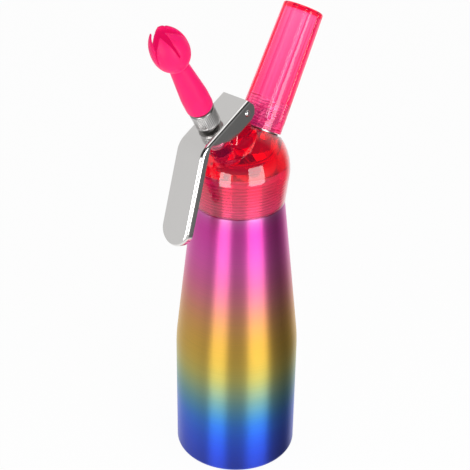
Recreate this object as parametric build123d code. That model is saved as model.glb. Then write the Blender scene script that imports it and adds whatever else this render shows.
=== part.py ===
from build123d import *
import os
from math import acos, atan, atan2, cos, degrees, hypot, radians, sin, sqrt, tan

# Whipped cream dispenser. Millimetres. The origin is the centre of the bottle's base and +Z is up.
# The valve leans toward -X and the charger port toward +X. Both of their axes start at one point on
# the bottle's axis, and every station along them is a distance from that point.

# ---- bottle ----
BODY_R = 39.0               # straight wall
BODY_WALL = 1.2
BASE_T = 2.0
BASE_CORNER_R = 3.0
WAIST_Z = 82.4              # the taper starts here
WAIST_BLEND_R = 130.0
SHOULDER_R = 28.1           # top of the taper
SHOULDER_Z = 180.5
SHOULDER_EDGE_R = 0.8
NECK_R = 25.3               # over the thread
NECK_WALL = 2.2
MOUTH_Z = 203.0
LIP_R = 0.7

# ---- head ----
THREAD_CLEARANCE = 0.4
RIM_GAP = 0.4               # between the shoulder and the skirt
RIM_R = 28.4
RIM_EDGE_R = 0.7
DOME_R = 30.7
DOME_Z = 201.5
CAVITY_R = 16.0             # the round hollow over the mouth
CAVITY_TOP = 210.0
CAVITY_EDGE_R = 2.0
CROSS_Z = 192.8             # where the valve axis and the port axis meet
CANT = 30.0                 # lean of both axes, in degrees
VALVE_FACET = 31.5          # station of the flat that the valve boss stands on
PORT_FACET = 33.0           # station of the flat that the port sits on
VALVE_SEAT = 27.6           # station of the flat inside, under the valve
PORT_SEAT = 27.4            # station of the flat inside, under the port
POCKET_START = 12.0         # station in the hollow where the pockets under both flats start
BOSS_R = 7.9
BOSS_TOP = 43.0
GASKET_T = 1.9
GASKET_W = 3.0
SEAL_GAP = 0.05             # around a seal that bears on another body

# ---- lever and its pin ----
PIVOT_X = -5.0
PIVOT_Z = 241.3
PIN_R = 2.0
PIN_RUNNING = 0.06          # radial clearance between the pin and the lever
PIN_PROUD = 0.9
PIN_END_R = 1.4             # rounding of the pin's ends
CLIP_T = 0.6
CLIP_WALL = 0.9
LUG_R = 4.4
LUG_FOOT_Z = 220.0
LUG_FOOT_W = 14.0
LUG_FOOT_T = 1.0
LEVER_W = 21.0
SHEET = 1.5
BEND_R = 2.2                # outside of the long bends
EAR_GAP = 0.5               # between the lug and the lever's ears
EAR_R = 6.1
PLATE_TILT = 28.0           # of the plate at rest, in degrees
PLATE_RISE = 6.3            # from the pin's axis to the plate's outer face
PLATE_END = 4.0             # the plate runs this far past the pin
ELBOW_AT = 37.7             # along the plate, from above the pin
ELBOW_R = 12.0
EAR_HEEL = 16.6             # along the plate, where the ears start to rise
HEEL_R = 9.0
THROAT = 2.8                # the ears meet the handle this far above the elbow
THROAT_R = 2.5
HANDLE_TILT = 16.0          # of the handle from upright, in degrees
HANDLE_L = 60.3
FLANGE = 5.3
SLOT_SIDE = 0.9             # clearance between the stem and the plate's slot, across
SLOT_LONG = 2.2             # and along

# ---- valve ----
STEM_R = 3.5
STEM_BORE_R = 2.05
STEM_TOP = 60.0
STEM_PORT_R = 1.2
SPIGOT_R = 2.2
SPIGOT_L = 7.0
GUIDE_WALL = 1.5
GUIDE_RUNNING = 0.06
GUIDE_FLANGE_T = 1.0
WELL_R = 6.0
WELL_FLOOR = 36.5
VALVE_SEAL_R = 6.2
VALVE_SEAL_T = 2.4
SEAL_POCKET = 1.0           # room around the seal, inside the head
NUT_FLATS = 8.0
NUT_T = 2.5
RING_WIRE_R = 0.46
RING_STATION = 33.0
SPRING_WIRE_R = 0.5
SPRING_TURNS = 5
SPRING_FIT = 0.35           # beside the spring
CAP_R = 7.0
CAP_T = 2.4
CAP_CROWN_R = 32.0
CAP_GAP = 0.3               # under the lever's plate

# ---- nozzle adapter and decorator tip ----
ADAPTER_R = 7.5
ADAPTER_FOOT = 53.2
ADAPTER_SHOULDER = 66.0
ADAPTER_BEVEL = 1.0
ADAPTER_BORE_R = 2.6
ADAPTER_SEAL_T = 1.2
SPOUT_R = 5.0
SPOUT_L = 8.0
TIP_GAP = 0.4
TIP_R = 8.0
TIP_EDGE_R = 1.6
TIP_BLEND_R = 50.0          # where the barrel runs into the long taper
TIP_BARREL_L = 10.0
TIP_NECK_R = 5.5
TIP_NECK = 100.4
TIP_BORE_R = 4.0
PETALS = 5
PETAL_WALL = 1.5
PETAL_TURN = -22.0          # of the first slit about the tip's axis, in degrees
BUD_R = 10.7
BUD_HEIGHT = 25.8
BUD_MOUTH_R = 5.2
BUD_LOW = (0.83, 0.16)      # points of the bud's side, as shares of its radius and its height
BUD_WIDEST = (1.0, 0.54)
BUD_HIGH = (0.76, 0.85)
SLIT_ROOT = 11.0            # above the neck, where the slits between the petals start
SLIT_FORK = 12.0            # above the neck, where the slits open out
SLIT_SKEW = 1.5             # of a slit's root to one side of its mouth
SLIT_KNEE = 20.0            # above the neck, where the petals' pointed ends start
SLIT_HALF = 0.35            # half width below the fork
KNEE_HALF = 1.3             # half width at the knee
MOUTH_HALF = 2.9            # half width at the petals' ends

# ---- charger port and holder ----
PORT_FLANGE_R = 12.4
PORT_FLANGE_T = 1.0
PORT_STUD_R = 10.2
PORT_STUD_L = 13.0
PORT_SHANK_R = 6.5
SOCKET_R = 4.7
SOCKET_FLOOR = 37.0
GAS_R = 1.2
PORT_NUT_FLATS = 17.0
PORT_NUT_T = 3.6
PORT_NUT_POCKET = 0.4       # room around the nut's corners, inside the head
PORT_SEAL_W = 2.4
PORT_SEAL_T = 1.1
CHECK_R = 4.4
CHECK_WALL = 1.2
CHECK_L = 4.0
CHECK_SPIGOT_L = 3.0
PIN_BASE_T = 1.6
NEEDLE_R = 0.9
NEEDLE_TIP_R = 0.5
NEEDLE_BORE_R = 0.35
NEEDLE_L = 4.0
CHARGER_SEAL_T = 1.5
CHARGER_SEAL_BORE_R = 2.4
HOLDER_GAP = 0.3
HOLDER_FOOT_R = 13.85
HOLDER_TOP_R = 12.35
HOLDER_L = 75.4
HOLDER_CROWN = 1.0
HOLDER_EDGE_R = 1.4
HOLDER_THREAD_L = 18.5
CHARGER_R = 9.0
CHARGER_CLEARANCE = 0.6
HOLDER_ROOF = 2.8
FLUTES = 10
FLUTE_R = 2.6
FLUTE_DEPTH = 0.55
FLUTE_START = 7.0           # above the holder's foot
FLUTE_TURN = 13.0           # of the first flute about the holder's axis, in degrees

OVERSHOOT = 5.0             # of a cutting tool past the face that it cuts
ON_FACE = 0.001             # an edge this near to a face counts as lying on it

# ---- sizes that follow from those above ----
RIM_Z = SHOULDER_Z + RIM_GAP
SKIRT_BORE_R = NECK_R + THREAD_CLEARANCE
LEDGE_Z = MOUTH_Z + GASKET_T + 2 * SEAL_GAP
EAR_INSIDE = LEVER_W / 2 - SHEET
EAR_DEPTH = PLATE_RISE + EAR_R
LUG_HALF = EAR_INSIDE - EAR_GAP
CLIP_GROOVE_R = PIN_R - CLIP_T
GUIDE_R = STEM_R + GUIDE_RUNNING + GUIDE_WALL
HOLDER_FOOT = PORT_FACET + PORT_FLANGE_T + HOLDER_GAP
HOLDER_TOP = HOLDER_FOOT + HOLDER_L
CHARGER_BORE_R = CHARGER_R + CHARGER_CLEARANCE
NUT_POCKET_R = PORT_NUT_FLATS / sqrt(3) + PORT_NUT_POCKET
STUD_TOP = PORT_FACET + PORT_FLANGE_T + PORT_STUD_L

VALVE_FRAME = Location((0, 0, CROSS_Z), (0, -CANT, 0))
PORT_FRAME = Location((0, 0, CROSS_Z), (0, CANT, 0))
UPWARD = (Align.CENTER, Align.CENTER, Align.MIN)


def rounded(face, corners, rounds):
    """Rounds the named corners of a face: rounds maps a corner's number to its radius."""
    for number, radius in rounds.items():
        corner = Vector(*corners[number])
        nearest = face.vertices().sort_by_distance(corner)[0]
        face = fillet(nearest, radius)
    return face


def turned(*corners, rounds=None):
    """A solid turned about Z from an outline of (radius, height) corners."""
    face = rounded(make_face(Polyline(*corners, close=True)), corners, rounds or {})
    return revolve(Plane.XZ * face, Axis.Z)


def rod(radius, low, high):
    """A cylinder on Z between two heights."""
    return Pos(0, 0, low) * Cylinder(radius, high - low, align=UPWARD)


def tube(outer, inner, low, high):
    """A plain tube or washer on Z between two heights."""
    return rod(outer, low, high) - rod(inner, low - OVERSHOOT, high + OVERSHOOT)


def hex_bar(flats, low, high):
    """A six-sided bar on Z between two heights, across flats."""
    return Pos(0, 0, low) * extrude(RegularPolygon(flats / 2, 6, major_radius=False), high - low)


def slab(points, half_width, rounds=None):
    """A side outline of (x, z) points made solid to both sides of the plane of symmetry."""
    face = rounded(make_face(Polyline(*points, close=True)), points, rounds or {})
    return extrude(Plane.XZ * face, half_width, both=True)


def across(radius, half_length):
    """A cylinder along Y, centred on the pivot."""
    return Pos(PIVOT_X, 0, PIVOT_Z) * Rot(90, 0, 0) * Cylinder(radius, 2 * half_length)


# ---- bottle ----
def bottle():
    """A spun bottle: straight wall, long taper, and a threaded neck on a narrow shoulder."""
    mouth_r = NECK_R - NECK_WALL
    inner_shoulder = SHOULDER_Z - BODY_WALL
    corners = (
        (0, 0),
        (BODY_R, 0),
        (BODY_R, WAIST_Z),
        (SHOULDER_R, SHOULDER_Z),
        (NECK_R, SHOULDER_Z),
        (NECK_R, MOUTH_Z),
        (mouth_r, MOUTH_Z),
        (mouth_r, inner_shoulder),
        (SHOULDER_R - BODY_WALL, inner_shoulder - BODY_WALL),
        (BODY_R - BODY_WALL, WAIST_Z),
        (BODY_R - BODY_WALL, BASE_T),
        (0, BASE_T),
    )
    rounds = {
        1: BASE_CORNER_R,
        2: WAIST_BLEND_R,
        3: SHOULDER_EDGE_R,
        5: LIP_R,
        9: WAIST_BLEND_R - BODY_WALL,
        10: BASE_CORNER_R - BODY_WALL,
    }
    return turned(*corners, rounds=rounds)


# ---- head ----
def dome():
    """Tapered skirt that runs smoothly into a round dome, solid to the axis."""
    reach = hypot(RIM_R, DOME_Z - RIM_Z)
    angle = acos(DOME_R / reach) - atan2(DOME_Z - RIM_Z, RIM_R)
    touch = (DOME_R * cos(angle), DOME_Z + DOME_R * sin(angle))
    halfway = (angle + radians(90)) / 2
    on_dome = (DOME_R * cos(halfway), DOME_Z + DOME_R * sin(halfway))
    crown = (0, DOME_Z + DOME_R)
    rim = (RIM_R, RIM_Z)
    foot = (0, RIM_Z)
    outline = Line(foot, rim) + Line(rim, touch) + ThreePointArc(touch, on_dome, crown) + Line(crown, foot)
    face = fillet(make_face(outline).vertices().sort_by_distance(Vector(*rim))[0], RIM_EDGE_R)
    return revolve(Plane.XZ * face, Axis.Z)


def above(frame, station):
    """Everything past a station of a canted axis."""
    block = 4 * DOME_R
    return frame * Pos(0, 0, station) * Box(block, block, block, align=UPWARD)


def lug():
    """The web that rises between the two flats and carries the lever's pin."""
    eye = Pos(PIVOT_X, PIVOT_Z) * Circle(LUG_R)
    foot = Pos(PIVOT_X, LUG_FOOT_Z) * Rectangle(LUG_FOOT_W, LUG_FOOT_T)
    outline = make_hull([*eye.edges(), *foot.edges()])
    return extrude(Plane.XZ * outline, LUG_HALF, both=True)


def head_cap():
    """Clear head: skirt, dome, valve boss, port flat and pin lug in one moulding."""
    flatted = dome() - above(VALVE_FRAME, VALVE_FACET) - above(PORT_FRAME, PORT_FACET)
    boss = VALVE_FRAME * rod(BOSS_R, VALVE_SEAT, BOSS_TOP)
    outside = flatted + boss + lug()
    valve_bore = (
        rod(GUIDE_R, POCKET_START, BOSS_TOP)
        + rod(WELL_R, WELL_FLOOR, BOSS_TOP + OVERSHOOT)
        + rod(VALVE_SEAL_R + SEAL_POCKET, POCKET_START, VALVE_SEAT)
    )
    port_bore = (
        rod(PORT_SHANK_R, POCKET_START, PORT_FACET + OVERSHOOT)
        + rod(PORT_SHANK_R + PORT_SEAL_W, PORT_FACET - PORT_SEAL_T, PORT_FACET + OVERSHOOT)
        + rod(NUT_POCKET_R, POCKET_START, PORT_SEAT)
    )
    hollow = head_hollow() + VALVE_FRAME * valve_bore + PORT_FRAME * port_bore
    return outside - hollow - across(PIN_R, LEVER_W)


def head_hollow():
    """The thread's bore up to the ledge, and a narrower round-topped hollow over the mouth."""
    thread_bore = rod(SKIRT_BORE_R, RIM_Z - OVERSHOOT, LEDGE_Z)
    corners = ((0, RIM_Z), (CAVITY_R, RIM_Z), (CAVITY_R, CAVITY_TOP), (0, CAVITY_TOP))
    return thread_bore + turned(*corners, rounds={2: CAVITY_EDGE_R})


def head_gasket():
    """Flat ring between the bottle's lip and the head's ledge."""
    return tube(NECK_R, NECK_R - GASKET_W, MOUTH_Z + SEAL_GAP, LEDGE_Z - SEAL_GAP)


# ---- lever and its pin ----
def on_plate(along, depth):
    """The (x, z) of a point along the plate from above the pin, at a depth under its outer face."""
    tilt = radians(PLATE_TILT)
    rise = PLATE_RISE - depth
    return (
        PIVOT_X - along * cos(tilt) - rise * sin(tilt),
        PIVOT_Z - along * sin(tilt) + rise * cos(tilt),
    )


def on_handle(down, depth):
    """The (x, z) of a point down the handle from the elbow, at a depth under its outer face."""
    tilt = radians(HANDLE_TILT)
    elbow_x, elbow_z = on_plate(ELBOW_AT, 0)
    return (
        elbow_x - down * sin(tilt) + depth * cos(tilt),
        elbow_z - down * cos(tilt) - depth * sin(tilt),
    )


def inside_elbow(inset):
    """The corner where the plate and the handle meet, a wall's thickness in."""
    half_turn = radians(90 - PLATE_TILT - HANDLE_TILT) / 2
    return on_plate(ELBOW_AT - inset * tan(half_turn), inset)


def handle_frame():
    """A plane on the handle's outer face at the elbow: X runs down the handle, Y runs across."""
    elbow_x, elbow_z = on_plate(ELBOW_AT, 0)
    tilt = radians(HANDLE_TILT)
    down = (-sin(tilt), 0, -cos(tilt))
    outward = (-cos(tilt), 0, sin(tilt))
    return Plane(origin=(elbow_x, 0, elbow_z), x_dir=down, z_dir=outward)


def round_ended(half_width):
    """A block on the handle's plane whose lower end is a half circle, for trimming the lever."""
    reach = 2 * HANDLE_L
    centre = HANDLE_L - LEVER_W / 2
    strip = Pos((centre - reach) / 2, 0) * Rectangle(centre + reach, 2 * half_width)
    outline = strip + Pos(centre, 0) * Circle(half_width)
    return extrude(handle_frame() * outline, reach, both=True)


def lever_blank():
    """The lever's outside: plate, ears, elbow and round-ended handle, with rounded long edges."""
    side = (
        on_plate(-PLATE_END, 0),
        inside_elbow(0),
        on_handle(HANDLE_L, 0),
        on_handle(HANDLE_L, FLANGE),
        on_handle(-THROAT, FLANGE),
        on_plate(EAR_HEEL, EAR_DEPTH),
        on_plate(0, EAR_DEPTH),
        on_plate(-EAR_R, PLATE_RISE),
    )
    body = slab(side, LEVER_W / 2, rounds={1: ELBOW_R, 4: THROAT_R, 5: HEEL_R})
    blank = (body + across(EAR_R, LEVER_W / 2)) & round_ended(LEVER_W / 2)
    return fillet(outer_rim(blank), BEND_R)


def outer_rim(blank):
    """The edges all round the outer face of the plate, elbow and handle."""
    found = ShapeList()
    for edge in blank.edges():
        middle = edge @ 0.5
        offset_plate = plate_depth(middle)
        offset_handle = handle_depth(middle)
        on_side = abs(abs(middle.Y) - LEVER_W / 2) < ON_FACE
        near_face = min(abs(offset_plate), abs(offset_handle)) < ON_FACE
        at_elbow = on_side and edge.geom_type == GeomType.CIRCLE and abs(edge.radius - ELBOW_R) < ON_FACE
        at_tip = near_face and handle_reach(middle) > HANDLE_L / 2
        if (on_side and near_face) or at_elbow or at_tip:
            found.append(edge)
    return found


def plate_depth(point):
    """How far a point lies under the plate's outer face."""
    tilt = radians(PLATE_TILT)
    return PLATE_RISE + (point.X - PIVOT_X) * sin(tilt) - (point.Z - PIVOT_Z) * cos(tilt)


def handle_depth(point):
    """How far a point lies under the handle's outer face."""
    return -handle_frame().to_local_coords(point).Z


def handle_reach(point):
    """How far down the handle a point lies from the elbow."""
    return handle_frame().to_local_coords(point).X


def lever_hollow():
    """The space inside the channel, open underneath and at the pin's end."""
    deep = EAR_DEPTH + OVERSHOOT
    side = (
        on_plate(-2 * EAR_R, SHEET),
        inside_elbow(SHEET),
        on_handle(HANDLE_L, SHEET),
        on_handle(HANDLE_L, FLANGE + OVERSHOOT),
        on_handle(0, FLANGE + OVERSHOOT),
        on_plate(EAR_HEEL, deep),
        on_plate(-2 * EAR_R, deep),
    )
    hollow = slab(side, EAR_INSIDE, rounds={1: ELBOW_R - SHEET})
    past_end = slab(
        (
            on_plate(-2 * EAR_R, -OVERSHOOT),
            on_plate(-PLATE_END, -OVERSHOOT),
            on_plate(-PLATE_END, deep),
            on_plate(-2 * EAR_R, deep),
        ),
        EAR_INSIDE,
    )
    return (hollow & round_ended(EAR_INSIDE)) + past_end


def stem_slot():
    """The rounded slot that lets the stem through the plate while the lever swings."""
    width = 2 * (STEM_R + SLOT_SIDE)
    length = 2 * (STEM_R + SLOT_LONG)
    middle = (BOSS_TOP + ADAPTER_FOOT) / 2
    opening = SlotOverall(length, width)
    return VALVE_FRAME * Pos(0, 0, middle) * extrude(opening, (ADAPTER_FOOT - BOSS_TOP) / 2, both=True)


def lever():
    """Pressed channel lever: a plate over the valve, two ears on the pin, and a long handle."""
    return lever_blank() - lever_hollow() - stem_slot() - across(PIN_R + PIN_RUNNING, LEVER_W)


def lever_pin():
    """Pin with domed ends, a groove for its clip, and a press fit in the lug."""
    half = LEVER_W / 2 + PIN_PROUD
    blank = across(PIN_R, half)
    domed = fillet(blank.edges().filter_by(GeomType.CIRCLE), PIN_END_R)
    return domed - at_clip(tube(2 * PIN_R, CLIP_GROOVE_R, -CLIP_T / 2, CLIP_T / 2))


def at_clip(shape):
    """Stands a shape made about Z on the pin's far end, just outside the lever's ear."""
    return Pos(PIVOT_X, LEVER_W / 2 + CLIP_T, PIVOT_Z) * Rot(90, 0, 0) * shape


def pin_clip():
    """Open spring ring in the pin's groove."""
    thickness = CLIP_T - 2 * SEAL_GAP
    outer = PIN_R + CLIP_WALL
    ring = tube(outer, CLIP_GROOVE_R, -thickness / 2, thickness / 2)
    mouth = Pos(0, -outer) * Box(PIN_R, 2 * outer, 2 * CLIP_T)
    return at_clip(ring - mouth)


# ---- valve ----
def valve_guide():
    """Flanged bush pressed into the boss. The spring stands on its flange."""
    flange = rod(WELL_R - SPRING_FIT, WELL_FLOOR, WELL_FLOOR + GUIDE_FLANGE_T)
    sleeve = rod(GUIDE_R, VALVE_SEAT, WELL_FLOOR)
    return VALVE_FRAME * (flange + sleeve - rod(STEM_R + GUIDE_RUNNING, 0, BOSS_TOP))


def valve_stem():
    """Hollow stem: a groove for its ring, cross holes above the seal, and a spigot for the nut."""
    seal_face = VALVE_SEAT - SEAL_GAP
    stem = rod(STEM_R, seal_face, STEM_TOP) + rod(SPIGOT_R, seal_face - SPIGOT_L, seal_face)
    groove = Pos(0, 0, RING_STATION) * tube(2 * STEM_R, STEM_R - 2 * RING_WIRE_R, -RING_WIRE_R, RING_WIRE_R)
    port_station = seal_face + 2 * STEM_PORT_R
    passage = rod(STEM_BORE_R, port_station, STEM_TOP + OVERSHOOT)
    hole = Pos(0, 0, port_station) * Rot(0, 90, 0) * Cylinder(STEM_PORT_R, 4 * STEM_R)
    return VALVE_FRAME * (stem - groove - passage - hole - Rot(0, 0, 90) * hole)


def stem_o_ring():
    """Ring in the stem's groove that keeps gas out of the boss."""
    ring = Torus(STEM_R - RING_WIRE_R, RING_WIRE_R - SEAL_GAP / 2)
    return VALVE_FRAME * Pos(0, 0, RING_STATION) * ring


def valve_seal():
    """Soft disc that shuts against the flat inside the head."""
    top = VALVE_SEAT - SEAL_GAP
    return VALVE_FRAME * tube(VALVE_SEAL_R, SPIGOT_R, top - VALVE_SEAL_T, top)


def seal_nut():
    """Nut that holds the soft disc on the stem."""
    top = VALVE_SEAT - SEAL_GAP - VALVE_SEAL_T
    nut = hex_bar(NUT_FLATS, top - NUT_T, top) - rod(SPIGOT_R, 0, BOSS_TOP)
    return VALVE_FRAME * nut


def cap_top():
    """Station of the spring cap's crown, just under the lever's plate on the valve's axis."""
    return plate_station(SHEET) - CAP_GAP


def plate_station(depth):
    """Station where the valve's axis meets the plate, at a depth under its outer face."""
    tilt = radians(PLATE_TILT)
    rise = PLATE_RISE - depth + PIVOT_X * -sin(tilt) + (PIVOT_Z - CROSS_Z) * cos(tilt)
    return rise / cos(tilt - radians(CANT))


def spring_cap():
    """Crowned collar pressed on the stem, between the spring and the lever."""
    top = cap_top()
    collar = rod(CAP_R, top - CAP_T, top)
    crown = Pos(0, 0, top - CAP_CROWN_R) * Sphere(CAP_CROWN_R)
    return VALVE_FRAME * ((collar & crown) - rod(STEM_R, 0, STEM_TOP))


def return_spring():
    """Round-wire coil between the guide's flange and the spring cap."""
    low = WELL_FLOOR + GUIDE_FLANGE_T + SPRING_WIRE_R + SEAL_GAP
    high = cap_top() - CAP_T - SPRING_WIRE_R - SEAL_GAP
    coil_r = WELL_R - SPRING_FIT - SPRING_WIRE_R
    path = Helix((high - low) / SPRING_TURNS, high - low, coil_r)
    wire = Plane(origin=path @ 0, z_dir=path % 0) * Circle(SPRING_WIRE_R)
    return VALVE_FRAME * Pos(0, 0, low) * sweep(wire, path)


# ---- nozzle adapter and decorator tip ----
def nozzle_adapter():
    """Collar screwed on the stem, with a spout that carries the decorator tip."""
    collar = turned(
        (0, ADAPTER_FOOT),
        (ADAPTER_R, ADAPTER_FOOT),
        (ADAPTER_R, ADAPTER_SHOULDER),
        (0, ADAPTER_SHOULDER),
    )
    edges = collar.edges().filter_by(GeomType.CIRCLE)
    collar = chamfer(edges, ADAPTER_BEVEL)
    spout = rod(SPOUT_R, ADAPTER_SHOULDER, ADAPTER_SHOULDER + SPOUT_L)
    bore = rod(STEM_R, 0, STEM_TOP + ADAPTER_SEAL_T) + rod(ADAPTER_BORE_R, 0, ADAPTER_SHOULDER + 2 * SPOUT_L)
    return VALVE_FRAME * (collar + spout - bore)


def adapter_o_ring():
    """Soft washer between the stem's end and the adapter's step."""
    return VALVE_FRAME * tube(STEM_R, ADAPTER_BORE_R, STEM_TOP, STEM_TOP + ADAPTER_SEAL_T)


def bud_curve(inset):
    """The side of the tulip bud, from its neck to its mouth, drawn in by a wall's thickness."""
    return Spline(
        (TIP_NECK_R - inset, TIP_NECK + inset),
        (BUD_LOW[0] * BUD_R - inset, TIP_NECK + BUD_LOW[1] * BUD_HEIGHT + inset / 2),
        (BUD_WIDEST[0] * BUD_R - inset, TIP_NECK + BUD_WIDEST[1] * BUD_HEIGHT),
        (BUD_HIGH[0] * BUD_R - inset, TIP_NECK + BUD_HIGH[1] * BUD_HEIGHT),
        (BUD_MOUTH_R - inset, TIP_NECK + BUD_HEIGHT),
    )


def bud(inset):
    """The tulip bud as a solid, drawn in by a wall's thickness."""
    side = bud_curve(inset)
    low, high = side @ 0, side @ 1
    closing = Polyline((high.X, high.Y), (0, high.Y), (0, low.Y), (low.X, low.Y))
    return revolve(Plane.XZ * make_face(side + closing), Axis.Z)


def petal_slit():
    """A cut from the tip's axis outwards, narrow at its skewed root and flared between the points."""
    overrun = OVERSHOOT / (BUD_HEIGHT - SLIT_KNEE)
    flare = (MOUTH_HALF - KNEE_HALF) * (1 + overrun)
    shift = SLIT_SKEW * (BUD_HEIGHT - SLIT_KNEE) / (BUD_HEIGHT - SLIT_FORK)
    stations = (
        (SLIT_SKEW, SLIT_HALF, SLIT_ROOT),
        (SLIT_SKEW, SLIT_HALF, SLIT_FORK),
        (shift, KNEE_HALF, SLIT_KNEE),
        (-shift * overrun, KNEE_HALF + flare, BUD_HEIGHT + OVERSHOOT),
    )
    right = [(middle + half, TIP_NECK + height) for middle, half, height in stations]
    left = [(middle - half, TIP_NECK + height) for middle, half, height in reversed(stations)]
    return extrude(Plane.XZ * make_face(Polyline(*right, *left, close=True)), 2 * BUD_R)


def decorator_tip():
    """Tulip tip: a long barrel over the adapter's spout, and a bud cut into petals."""
    foot = ADAPTER_SHOULDER + TIP_GAP
    barrel = turned(
        (0, foot),
        (TIP_R, foot),
        (TIP_R, foot + TIP_BARREL_L),
        (TIP_NECK_R, TIP_NECK + PETAL_WALL),
        (0, TIP_NECK + PETAL_WALL),
        rounds={1: TIP_EDGE_R, 2: TIP_BLEND_R},
    )
    socket_top = ADAPTER_SHOULDER + SPOUT_L + TIP_GAP
    socket = rod(SPOUT_R + TIP_GAP, foot - OVERSHOOT, socket_top)
    passage = rod(TIP_BORE_R, foot, TIP_NECK + 2 * PETAL_WALL)
    tip = barrel + bud(0) - bud(PETAL_WALL) - socket - passage
    for turn in range(PETALS):
        tip -= Rot(0, 0, PETAL_TURN + turn * 360 / PETALS) * petal_slit()
    return VALVE_FRAME * tip


# ---- charger port and holder ----
def charger_port():
    """Threaded stud through the head, with a flange outside and a socket for the charger's neck."""
    flange = rod(PORT_FLANGE_R, PORT_FACET, PORT_FACET + PORT_FLANGE_T)
    stud = rod(PORT_STUD_R, PORT_FACET, STUD_TOP)
    inner_end = PORT_SEAT - PORT_NUT_T
    shank = rod(PORT_SHANK_R, inner_end, PORT_FACET)
    spigot = rod(CHECK_R - CHECK_WALL, inner_end - CHECK_SPIGOT_L, inner_end)
    socket = rod(SOCKET_R, SOCKET_FLOOR, STUD_TOP + OVERSHOOT)
    return PORT_FRAME * (flange + stud + shank + spigot - socket - rod(GAS_R, 0, STUD_TOP))


def port_nut():
    """Thin nut that clamps the port from inside the head."""
    low = PORT_SEAT - PORT_NUT_T
    return PORT_FRAME * (hex_bar(PORT_NUT_FLATS, low, PORT_SEAT) - rod(PORT_SHANK_R, 0, STUD_TOP))


def port_seal():
    """Flat ring in the head's recess, under the port's flange."""
    return PORT_FRAME * tube(PORT_SHANK_R + PORT_SEAL_W, PORT_SHANK_R, PORT_FACET - PORT_SEAL_T, PORT_FACET)


def piercing_pin():
    """Disc with a hollow needle that opens the charger's cap."""
    top = SOCKET_FLOOR + PIN_BASE_T
    disc = rod(SOCKET_R, SOCKET_FLOOR, top)
    needle = turned((0, top), (NEEDLE_R, top), (NEEDLE_TIP_R, top + NEEDLE_L), (0, top + NEEDLE_L))
    return PORT_FRAME * (disc + needle - rod(NEEDLE_BORE_R, 0, top + NEEDLE_L))


def charger_seal():
    """Soft washer that the charger's neck presses on."""
    low = SOCKET_FLOOR + PIN_BASE_T
    return PORT_FRAME * tube(SOCKET_R, CHARGER_SEAL_BORE_R, low, low + CHARGER_SEAL_T)


def check_valve():
    """Rubber sleeve over the port's inner end that lets gas in and keeps cream out."""
    high = PORT_SEAT - PORT_NUT_T
    sleeve = rod(CHECK_R, high - CHECK_L, high) - rod(CHECK_R - CHECK_WALL, high - CHECK_SPIGOT_L, high)
    return PORT_FRAME * sleeve


def flute(side_lean):
    """A round-ended groove that follows the holder's tapered side and runs out at its top."""
    start_r = HOLDER_FOOT_R + FLUTE_R - FLUTE_DEPTH - FLUTE_START * tan(side_lean)
    tool = rod(FLUTE_R, 0, HOLDER_L) + Sphere(FLUTE_R)
    return Pos(start_r, 0, HOLDER_FOOT + FLUTE_START) * Rot(0, -degrees(side_lean), 0) * tool


def charger_holder():
    """Clear tapered sleeve with a closed crown, fluted outside and threaded inside its foot."""
    outside = turned(
        (0, HOLDER_FOOT),
        (HOLDER_FOOT_R, HOLDER_FOOT),
        (HOLDER_TOP_R, HOLDER_TOP),
        (0, HOLDER_TOP + HOLDER_CROWN),
        rounds={2: HOLDER_EDGE_R},
    )
    thread_bore = rod(PORT_STUD_R + THREAD_CLEARANCE, HOLDER_FOOT - OVERSHOOT, HOLDER_FOOT + HOLDER_THREAD_L)
    charger_bore = rod(CHARGER_BORE_R, HOLDER_FOOT, HOLDER_TOP - HOLDER_ROOF)
    side_lean = atan((HOLDER_FOOT_R - HOLDER_TOP_R) / HOLDER_L)
    holder = outside - thread_bore - charger_bore
    for turn in range(FLUTES):
        holder -= Rot(0, 0, FLUTE_TURN + turn * 360 / FLUTES) * flute(side_lean)
    return PORT_FRAME * holder


PIECES = (
    bottle,
    head_cap,
    head_gasket,
    lever,
    lever_pin,
    pin_clip,
    valve_guide,
    valve_stem,
    valve_seal,
    seal_nut,
    stem_o_ring,
    return_spring,
    spring_cap,
    nozzle_adapter,
    adapter_o_ring,
    decorator_tip,
    charger_port,
    port_nut,
    port_seal,
    piercing_pin,
    charger_seal,
    check_valve,
    charger_holder,
)

os.makedirs("parts", exist_ok=True)
for piece in PIECES:
    export_step(piece(), f"parts/{piece.__name__}.step")
    print("wrote", piece.__name__)
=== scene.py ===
"""Whipped cream dispenser: mouldings, threads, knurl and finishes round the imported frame."""

import logging
import math
from dataclasses import dataclass
from enum import Enum
from typing import Callable, Sequence

import bmesh
import bpy
import numpy as np
from mathutils import Matrix, Vector
from mathutils.geometry import convex_hull_2d


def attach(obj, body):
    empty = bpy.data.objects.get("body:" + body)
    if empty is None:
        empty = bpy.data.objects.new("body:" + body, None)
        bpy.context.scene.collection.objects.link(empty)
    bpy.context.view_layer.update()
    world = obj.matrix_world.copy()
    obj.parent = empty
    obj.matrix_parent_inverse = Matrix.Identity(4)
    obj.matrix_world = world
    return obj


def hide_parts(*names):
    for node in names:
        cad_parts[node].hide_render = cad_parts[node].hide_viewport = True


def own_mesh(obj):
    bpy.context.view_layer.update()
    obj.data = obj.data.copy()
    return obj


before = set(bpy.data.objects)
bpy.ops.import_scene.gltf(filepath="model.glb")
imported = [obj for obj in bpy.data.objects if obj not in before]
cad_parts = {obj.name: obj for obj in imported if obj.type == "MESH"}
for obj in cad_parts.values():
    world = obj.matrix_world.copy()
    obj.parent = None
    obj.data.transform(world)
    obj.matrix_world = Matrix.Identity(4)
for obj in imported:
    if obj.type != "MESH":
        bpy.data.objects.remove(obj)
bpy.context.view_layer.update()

LOG = logging.getLogger("dispenser")
MM = 0.001  # the pieces are worked out in mm and stored in metres
TURN = 2 * math.pi
CROSS_Z = 192.8  # height where the valve's and the port's axes meet
CANT = math.radians(30)
FINE = 0.25  # mm between points along a thread or knurl
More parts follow.
